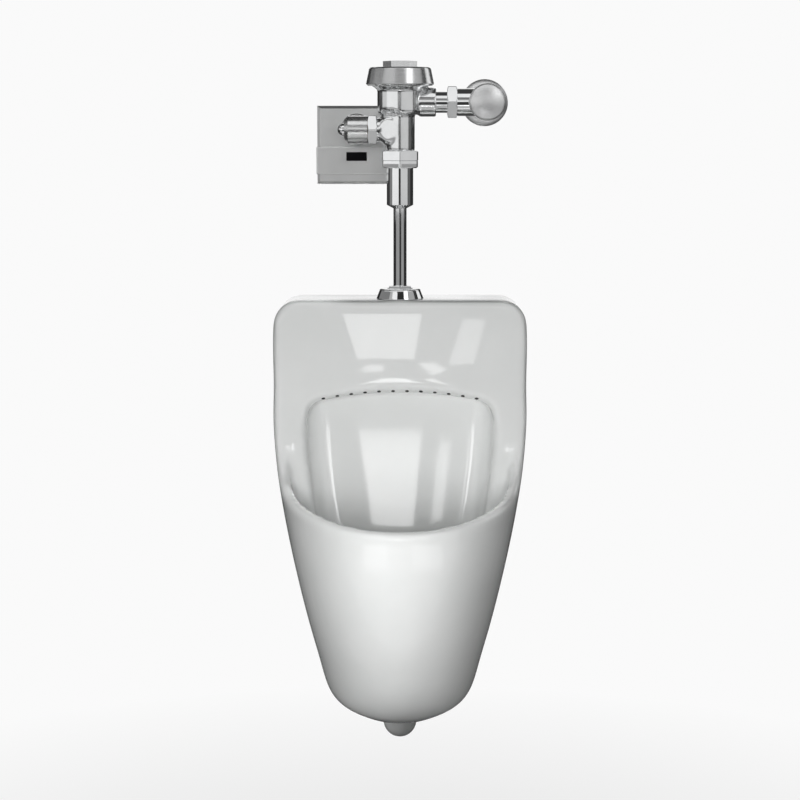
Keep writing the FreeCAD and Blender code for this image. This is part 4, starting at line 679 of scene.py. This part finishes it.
def nut_outside(low, high, apothem, corner, bands):
    """Rings up a nut's outside: (height, size, corner), with no corner where the ring is a circle."""
    length = high - low
    chamfer = apothem * NUT_CHAMFER
    rings = [(low, apothem * bands[0][2] * NUT_END, None)]
    for index, (start, end, size) in enumerate(bands):
        first = low + length * start + (chamfer if index == 0 else 0.0)
        last = low + length * end - (chamfer if index == len(bands) - 1 else 0.0)
        if index:
            rings.append((first - GROOVE_EDGE, apothem * GROOVE_SIZE, corner))
        rings.append((first, apothem * size, corner))
        rings.append((last, apothem * size, corner))
        if index < len(bands) - 1:
            rings.append((last + GROOVE_EDGE, apothem * GROOVE_SIZE, corner))
    rings.append((high, apothem * bands[-1][2] * NUT_END, None))
    return rings


def nut_inside(low, high, low_bore, high_bore):
    """Rings down a nut's bore, which is wide between the lips at its ends."""
    wide = max(low_bore, high_bore)
    lips = [(high, high_bore), (high - NUT_LIP, high_bore), (high - NUT_LIP, wide),
            (low + NUT_LIP, wide), (low + NUT_LIP, low_bore), (low, low_bore)]
    return [(height, radius, None) for height, radius in lips]


def nut_piece(node_name, centre, along, corner, bands):
    """Polished nut in the place of a node, with the node's own length, width and bore."""
    centre = Vector(centre)
    side = along.cross(FORWARD)
    offsets = [vertex.co - centre for vertex in nodes[node_name].data.vertices]
    heights = [offset.dot(along) for offset in offsets]
    radii = [math.hypot(offset.dot(FORWARD), offset.dot(side)) for offset in offsets]
    low, high = min(heights), max(heights)
    apothem = max(radii) * math.cos(math.radians(SIDE_DEGREES / 2))
    bores = [min(radius for radius, height in zip(radii, heights) if abs(height - end) < END_BAND)
             for end in (low, high)]
    shape = bmesh.new()
    rows = []
    for height, size, bend in nut_outside(low, high, apothem, corner, bands) + nut_inside(low, high, *bores):
        ring = hexagon_ring(size, size if bend is None else bend)
        rows.append([shape.verts.new(centre + along * height + FORWARD * u + side * v) for u, v in ring])
    ring_faces(shape, rows)
    bmesh.ops.remove_doubles(shape, verts=shape.verts, dist=NO_SIZE)
    bmesh.ops.recalc_face_normals(shape, faces=shape.faces)
    mesh = meshed(node_name + "_shown", shape)
    mesh.materials.append(CHROME)
    piece = linked(node_name + "_shown", mesh)
    smooth_shaded(piece, NUT_CREASE_DEGREES)
    stands_for(piece, node_name)


nut_piece("outlet_coupling_nut", (VALVE_X, VALVE_Y, 0.0), UPWARD, corner=0.0045, bands=BANDED)
nut_piece("spud_coupling_nut", (VALVE_X, VALVE_Y, 0.0), UPWARD, corner=0.0012, bands=WHOLE)
nut_piece("tailpiece_coupling_nut", (0.0, VALVE_Y, SUPPLY_Z), SIDEWAYS, corner=0.0020, bands=WHOLE)
nut_piece("solenoid_coupling_nut", (0.0, VALVE_Y, PORT_Z), SIDEWAYS, corner=0.0020, bands=WHOLE)


# Covers, plate and strainer

dressed("outside_cover", SPUN)
dressed("stop_cap", TURNED)
dressed("supply_flange", TURNED)
dressed("solenoid_housing", BRUSHED)
dressed("wall_plate", SATIN_PAINTED_SHEEN)
dressed("sensor_cover", SATIN_PAINTED_SHEEN)
dressed("sensor_window", WINDOW)
dressed("drain_strainer", BRASS)


# Spring behind the plunger

def spring_piece():
    """Coil behind the plunger: a copy of the node's mesh, shown in its place."""
    piece = linked("plunger_spring_shown", nodes["plunger_spring"].data.copy())
    stands_for(piece, "plunger_spring")
    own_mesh(piece)


spring_piece()


# Stage: world and floor

WHITE = (0.955, 0.955, 0.955, 1.0)
PURE_WHITE = (1.0, 1.0, 1.0, 1.0)
AMBIENT = 0.06
FLOOR_Z = -0.42
FLOOR_RADIUS = 9.0
FLOOR_SIDES = 96
FLOOR_GREY = (0.55, 0.55, 0.55, 1.0)
SHADOW_SHOWS = 0.80
SHADOW_FADES = (0.6, 1.4)


def seen_directly(tree):
    """1 for camera, glossy and transmission rays."""
    path = add(tree, "ShaderNodeLightPath")
    first = add(tree, "ShaderNodeMath", operation="MAXIMUM")
    tree.links.new(path.outputs["Is Camera Ray"], first.inputs[0])
    tree.links.new(path.outputs["Is Glossy Ray"], first.inputs[1])
    both = add(tree, "ShaderNodeMath", operation="MAXIMUM")
    tree.links.new(first.outputs[0], both.inputs[0])
    tree.links.new(path.outputs["Is Transmission Ray"], both.inputs[1])
    return both.outputs[0]


def studio():
    """World that is white where it is seen and lends only a little light of its own."""
    world = bpy.data.worlds.new("studio")
    scene.world = world
    world.use_nodes = True
    tree = world.node_tree
    tree.nodes.clear()
    ambient = add(tree, "ShaderNodeBackground", {"Color": PURE_WHITE, "Strength": AMBIENT})
    backdrop = add(tree, "ShaderNodeBackground", {"Color": WHITE, "Strength": 1.0})
    mixed = mixed_by(tree, seen_directly(tree), ambient, backdrop)
    tree.links.new(mixed, add(tree, "ShaderNodeOutputWorld").inputs[0])


def floor():
    """Pale floor that shows the object's shadow near the object and is white further out."""
    shape = bmesh.new()
    bmesh.ops.create_circle(shape, cap_ends=True, segments=FLOOR_SIDES, radius=FLOOR_RADIUS)
    mesh = meshed("floor", shape)
    mesh.transform(Matrix.Translation((0.0, 0.0, FLOOR_Z)))
    material, tree = bare_material("pale_floor")
    matte = add(tree, "ShaderNodeBsdfDiffuse", {"Color": FLOOR_GREY})
    glow = add(tree, "ShaderNodeEmission", {"Color": WHITE, "Strength": 1.0})
    where = add(tree, "ShaderNodeTexCoord")
    far = add(tree, "ShaderNodeVectorMath", {0: where.outputs["Object"]}, operation="LENGTH")
    fade = spread(tree, far.outputs["Value"], SHADOW_SHOWS, 1.0, *SHADOW_FADES)
    share = add(tree, "ShaderNodeMath", {0: fade, 1: seen_directly(tree)}, operation="MULTIPLY")
    mixed = mixed_by(tree, share.outputs[0], matte, glow)
    tree.links.new(mixed, add(tree, "ShaderNodeOutputMaterial").inputs[0])
    mesh.materials.append(material)
    linked("floor", mesh)


studio()
floor()


# Stage: flags and cards that only reflections see

FLAG_STEP = 4.0
RING_Y = -0.1
WALL_TOP = 1.5
BACK_TOP = 2.3
CANOPY_TOP = 2.7
CARD_TOP = 2.9
BOARD_HALF = 2.4
OVER_FLOOR = 0.01
BELOW_Z = FLOOR_Z + OVER_FLOOR
CARD_Y = -0.8
LIP_Y = -0.6

# Levels say how bright a panel is: about 1 for white

# Curved flags: name, first and last angle from the camera's side, radius, foot, top and level
FLAGS = [
    ("flag_back_right", 100.0, 108.0, 2.4, FLOOR_Z, BACK_TOP, 0.03),
    ("flag_back_gap", 108.0, 132.0, 2.4, FLOOR_Z, 0.915, 0.03),
    ("flag_back_turn", 132.0, 166.0, 2.4, FLOOR_Z, BACK_TOP, 0.03),
    ("flag_back", 166.0, 194.0, 2.4, FLOOR_Z, 0.30, 0.03),
    ("flag_back_left", 194.0, 229.0, 2.4, FLOOR_Z, BACK_TOP, 0.03),
    ("edge_left", -131.0, -100.0, 2.5, FLOOR_Z, 0.90, 0.05),
    ("edge_left_high", -131.0, -100.0, 2.5, 0.90, WALL_TOP, 0.22),
    ("side_left", -100.0, -71.0, 2.5, FLOOR_Z, 0.74, 0.22),
    ("side_left_high", -100.0, -71.0, 2.5, 0.74, WALL_TOP, 0.70),
    ("side_left_low", -131.0, -74.0, 2.45, FLOOR_Z, CHINA_TOP, 0.03),
    ("side_right", 69.0, 100.0, 2.5, FLOOR_Z, WALL_TOP, 0.12),
    ("side_right_low", 74.0, 100.0, 2.45, FLOOR_Z, CHINA_TOP, 0.03),
    ("flag_front", -12.0, 6.0, 3.6, FLOOR_Z, 0.94, 0.04),
    ("flag_front_low", -10.0, 22.0, 2.9, FLOOR_Z, CHINA_TOP, 0.04),
    ("wall_left", -71.0, -12.0, 3.5, FLOOR_Z, WALL_TOP, 0.95),
    ("wall_right", 6.0, 69.0, 3.5, FLOOR_Z, WALL_TOP, 0.64),
    ("skirt_left", -71.0, -7.0, 3.0, FLOOR_Z, CHINA_TOP, 0.33),
    ("skirt_right", 6.0, 69.0, 3.0, FLOOR_Z, CHINA_TOP, 0.33),
    ("canopy_edge_left", -131.0, -113.0, 2.6, WALL_TOP, CANOPY_TOP, 0.04),
    ("canopy_left", -113.0, -62.0, 2.6, WALL_TOP, CANOPY_TOP, 0.22),
    ("canopy_light", -62.0, -20.0, 2.6, WALL_TOP, CANOPY_TOP, 0.48),
    ("canopy_middle", -20.0, 24.0, 2.6, WALL_TOP, CANOPY_TOP, 0.34),
    ("canopy_gap", 24.0, 46.0, 2.6, WALL_TOP, CANOPY_TOP, 1.90),
    ("canopy_right", 46.0, 86.0, 2.6, WALL_TOP, CANOPY_TOP, 0.42),
    ("canopy_edge_right", 86.0, 100.0, 2.6, WALL_TOP, CANOPY_TOP, 0.05),
    ("canopy_card", -50.0, -16.0, 2.5, BACK_TOP, CARD_TOP, 1.00),
    ("canopy_line", -16.0, 20.0, 2.5, BACK_TOP, CARD_TOP, 0.03),
]

# Level boards: name, near and far edge, height and level
BOARDS = [
    ("flag_above", -0.7, 2.4, CARD_TOP, 0.05),
    ("flag_below_front", -3.4, -0.5, BELOW_Z, 0.46),
    ("flag_below_back", -0.5, 2.4, BELOW_Z, 0.06),
]

# Upright cards: name, place in front of the wall, corners as (x, z), level at the top, and level at the foot
CARDS = [
    ("panel_card", CARD_Y, [(-0.102, 0.464), (0.039, 0.464), (0.025, 0.380), (-0.075, 0.380)], 3.0, 3.0),
    ("panel_slip", CARD_Y, [(0.111, 0.452), (0.150, 0.448), (0.130, 0.372), (0.085, 0.368)], 2.0, 2.0),
    ("panel_patch_left", CARD_Y,
     [(-0.060, 0.3696), (-0.029, 0.369), (-0.030, 0.357), (-0.073, 0.358)], 3.2, 3.2),
    ("panel_patch_right", CARD_Y,
     [(0.031, 0.373), (0.061, 0.373), (0.082, 0.360), (0.057, 0.349)], 3.2, 3.2),
    ("recess_card", CARD_Y, [(-0.076, 0.2965), (0.041, 0.2965), (0.013, 0.342), (-0.034, 0.342)], 5.8, 3.6),
    ("recess_slip", CARD_Y, [(0.071, 0.300), (0.094, 0.300), (0.062, 0.342), (0.042, 0.342)], 4.2, 2.4),
    ("lip_card_left", LIP_Y, [(-0.379, 0.118), (-0.090, 0.187), (-0.105, 0.087), (-0.469, -0.021)], 1.5, 1.5),
    ("lip_card_right", LIP_Y, [(0.089, 0.187), (0.490, 0.089), (0.663, -0.092), (0.104, 0.087)], 1.5, 1.5),
]


def glow_material(name, level, foot, low, high):
    """Even light, or light that changes from the foot to the top."""
    material, tree = bare_material(name)
    light = add(tree, "ShaderNodeEmission", {"Color": PURE_WHITE, "Strength": level})
    if foot != level:
        where = add(tree, "ShaderNodeTexCoord")
        parts = add(tree, "ShaderNodeSeparateXYZ", {"Vector": where.outputs["Object"]})
        tree.links.new(spread(tree, parts.outputs["Z"], foot, level, low, high), light.inputs["Strength"])
    tree.links.new(light.outputs[0], add(tree, "ShaderNodeOutputMaterial").inputs[0])
    return material


def only_reflected(panel):
    panel.visible_camera = False
    panel.visible_diffuse = False
    panel.visible_shadow = False
    panel.visible_transmission = False
    panel.visible_volume_scatter = False


def curved_flag(name, start, end, radius, low, high, level):
    """Upright curved panel round the object."""
    steps = max(2, int(abs(end - start) / FLAG_STEP))
    shape = bmesh.new()
    rows = []
    for index in range(steps + 1):
        angle = math.radians(start + (end - start) * index / steps)
        x, y = radius * math.sin(angle), RING_Y - radius * math.cos(angle)
        rows.append((shape.verts.new((x, y, low)), shape.verts.new((x, y, high))))
    for first, second in zip(rows, rows[1:]):
        shape.faces.new((first[0], second[0], second[1], first[1]))
    mesh = meshed(name, shape)
    mesh.materials.append(glow_material(name, level, level, low, high))
    only_reflected(linked(name, mesh))


def quad(name, corners, level, foot):
    """One flat face that glows."""
    mesh = bpy.data.meshes.new(name)
    mesh.from_pydata(corners, [], [(0, 1, 2, 3)])
    heights = [corner[2] for corner in corners]
    mesh.materials.append(glow_material(name, level, foot, min(heights), max(heights)))
    return linked(name, mesh)


def level_corners(half, near, far, height):
    return [(-half, near, height), (half, near, height), (half, far, height), (-half, far, height)]


def upright_corners(outline, y):
    return [(x, y, z) for x, z in outline]


for flag in FLAGS:
    curved_flag(*flag)
for name, near, far, height, level in BOARDS:
    only_reflected(quad(name, level_corners(BOARD_HALF, near, far, height), level, level))
for name, y, outline, level, foot in CARDS:
    only_reflected(quad(name, upright_corners(outline, y), level, foot))


# Stage: dark boards that keep the trap in shade

TRAP_SHADE = [(-0.12, 0.025), (0.12, 0.025), (0.12, -0.3), (-0.12, -0.3)]
TRAP_SHADE_Y = -0.42
TRAP_FLOOR_HALF = 0.05
TRAP_FLOOR_NEAR, TRAP_FLOOR_FAR = -0.31, -0.03
TRAP_FLOOR_Z = -0.15


def shade(name, corners, from_lamps):
    """Dark board that only keeps lamp light off, or only the light that the floor sends back."""
    board = quad(name, corners, 0.0, 0.0)
    board.visible_camera = False
    board.visible_diffuse = not from_lamps
    board.visible_shadow = from_lamps
    board.visible_glossy = False
    board.visible_transmission = False


shade("trap_shade", upright_corners(TRAP_SHADE, TRAP_SHADE_Y), from_lamps=True)
shade("trap_floor", level_corners(TRAP_FLOOR_HALF, TRAP_FLOOR_NEAR, TRAP_FLOOR_FAR, TRAP_FLOOR_Z),
      from_lamps=False)


# Lamps and camera

# Points that the lamps are aimed at
CENTRE = (0.0, -0.2, 0.3)
BOWL_LEFT = (-0.08, -0.25, 0.06)
CHINA_LEDGE = (0.0, -0.03, CHINA_TOP)

SENSOR_WIDTH = 36.0
LENS = 93.75
CAMERA_PLACE = (0.0, -3.0743, 0.7867)
CAMERA_TARGET = (0.0, -0.100, 0.3951)


def aimed(place, target):
    """Turn that points an object's own -Z from its place at the target."""
    return (Vector(target) - Vector(place)).to_track_quat("-Z", "Y").to_euler()


def lamp(name, place, target, width, height, power, beam=180.0):
    data = bpy.data.lights.new(name, "AREA")
    data.shape = "RECTANGLE"
    data.size = width
    data.size_y = height
    data.energy = power
    data.spread = math.radians(beam)
    made = bpy.data.objects.new(name, data)
    made.location = place
    made.rotation_euler = aimed(place, target)
    made.visible_glossy = False
    made.visible_camera = False
    scene.collection.objects.link(made)


lamp("front_right", (0.259, -1.420, 0.300), CENTRE, width=0.45, height=0.45, power=6.0)
lamp("front_left", (-0.257, -1.411, 0.474), CENTRE, width=0.45, height=0.45, power=7.4)
lamp("side", (-1.104, -0.787, 0.150), BOWL_LEFT, width=0.35, height=0.35, power=0.25, beam=45.0)
lamp("overhead", (0.0, 0.15, 2.2), CHINA_LEDGE, width=0.40, height=0.10, power=0.36, beam=22.0)
lamp("rear_left", (-1.6, 1.9, 1.1), CENTRE, width=1.0, height=1.0, power=26.0)
lamp("rear_right", (1.6, 1.9, 1.1), CENTRE, width=1.0, height=1.0, power=26.0)

eye = bpy.data.cameras.new("camera")
eye.sensor_width = SENSOR_WIDTH
eye.lens = LENS
camera = bpy.data.objects.new("camera", eye)
camera.location = CAMERA_PLACE
camera.rotation_euler = aimed(CAMERA_PLACE, CAMERA_TARGET)
scene.collection.objects.link(camera)
scene.camera = camera
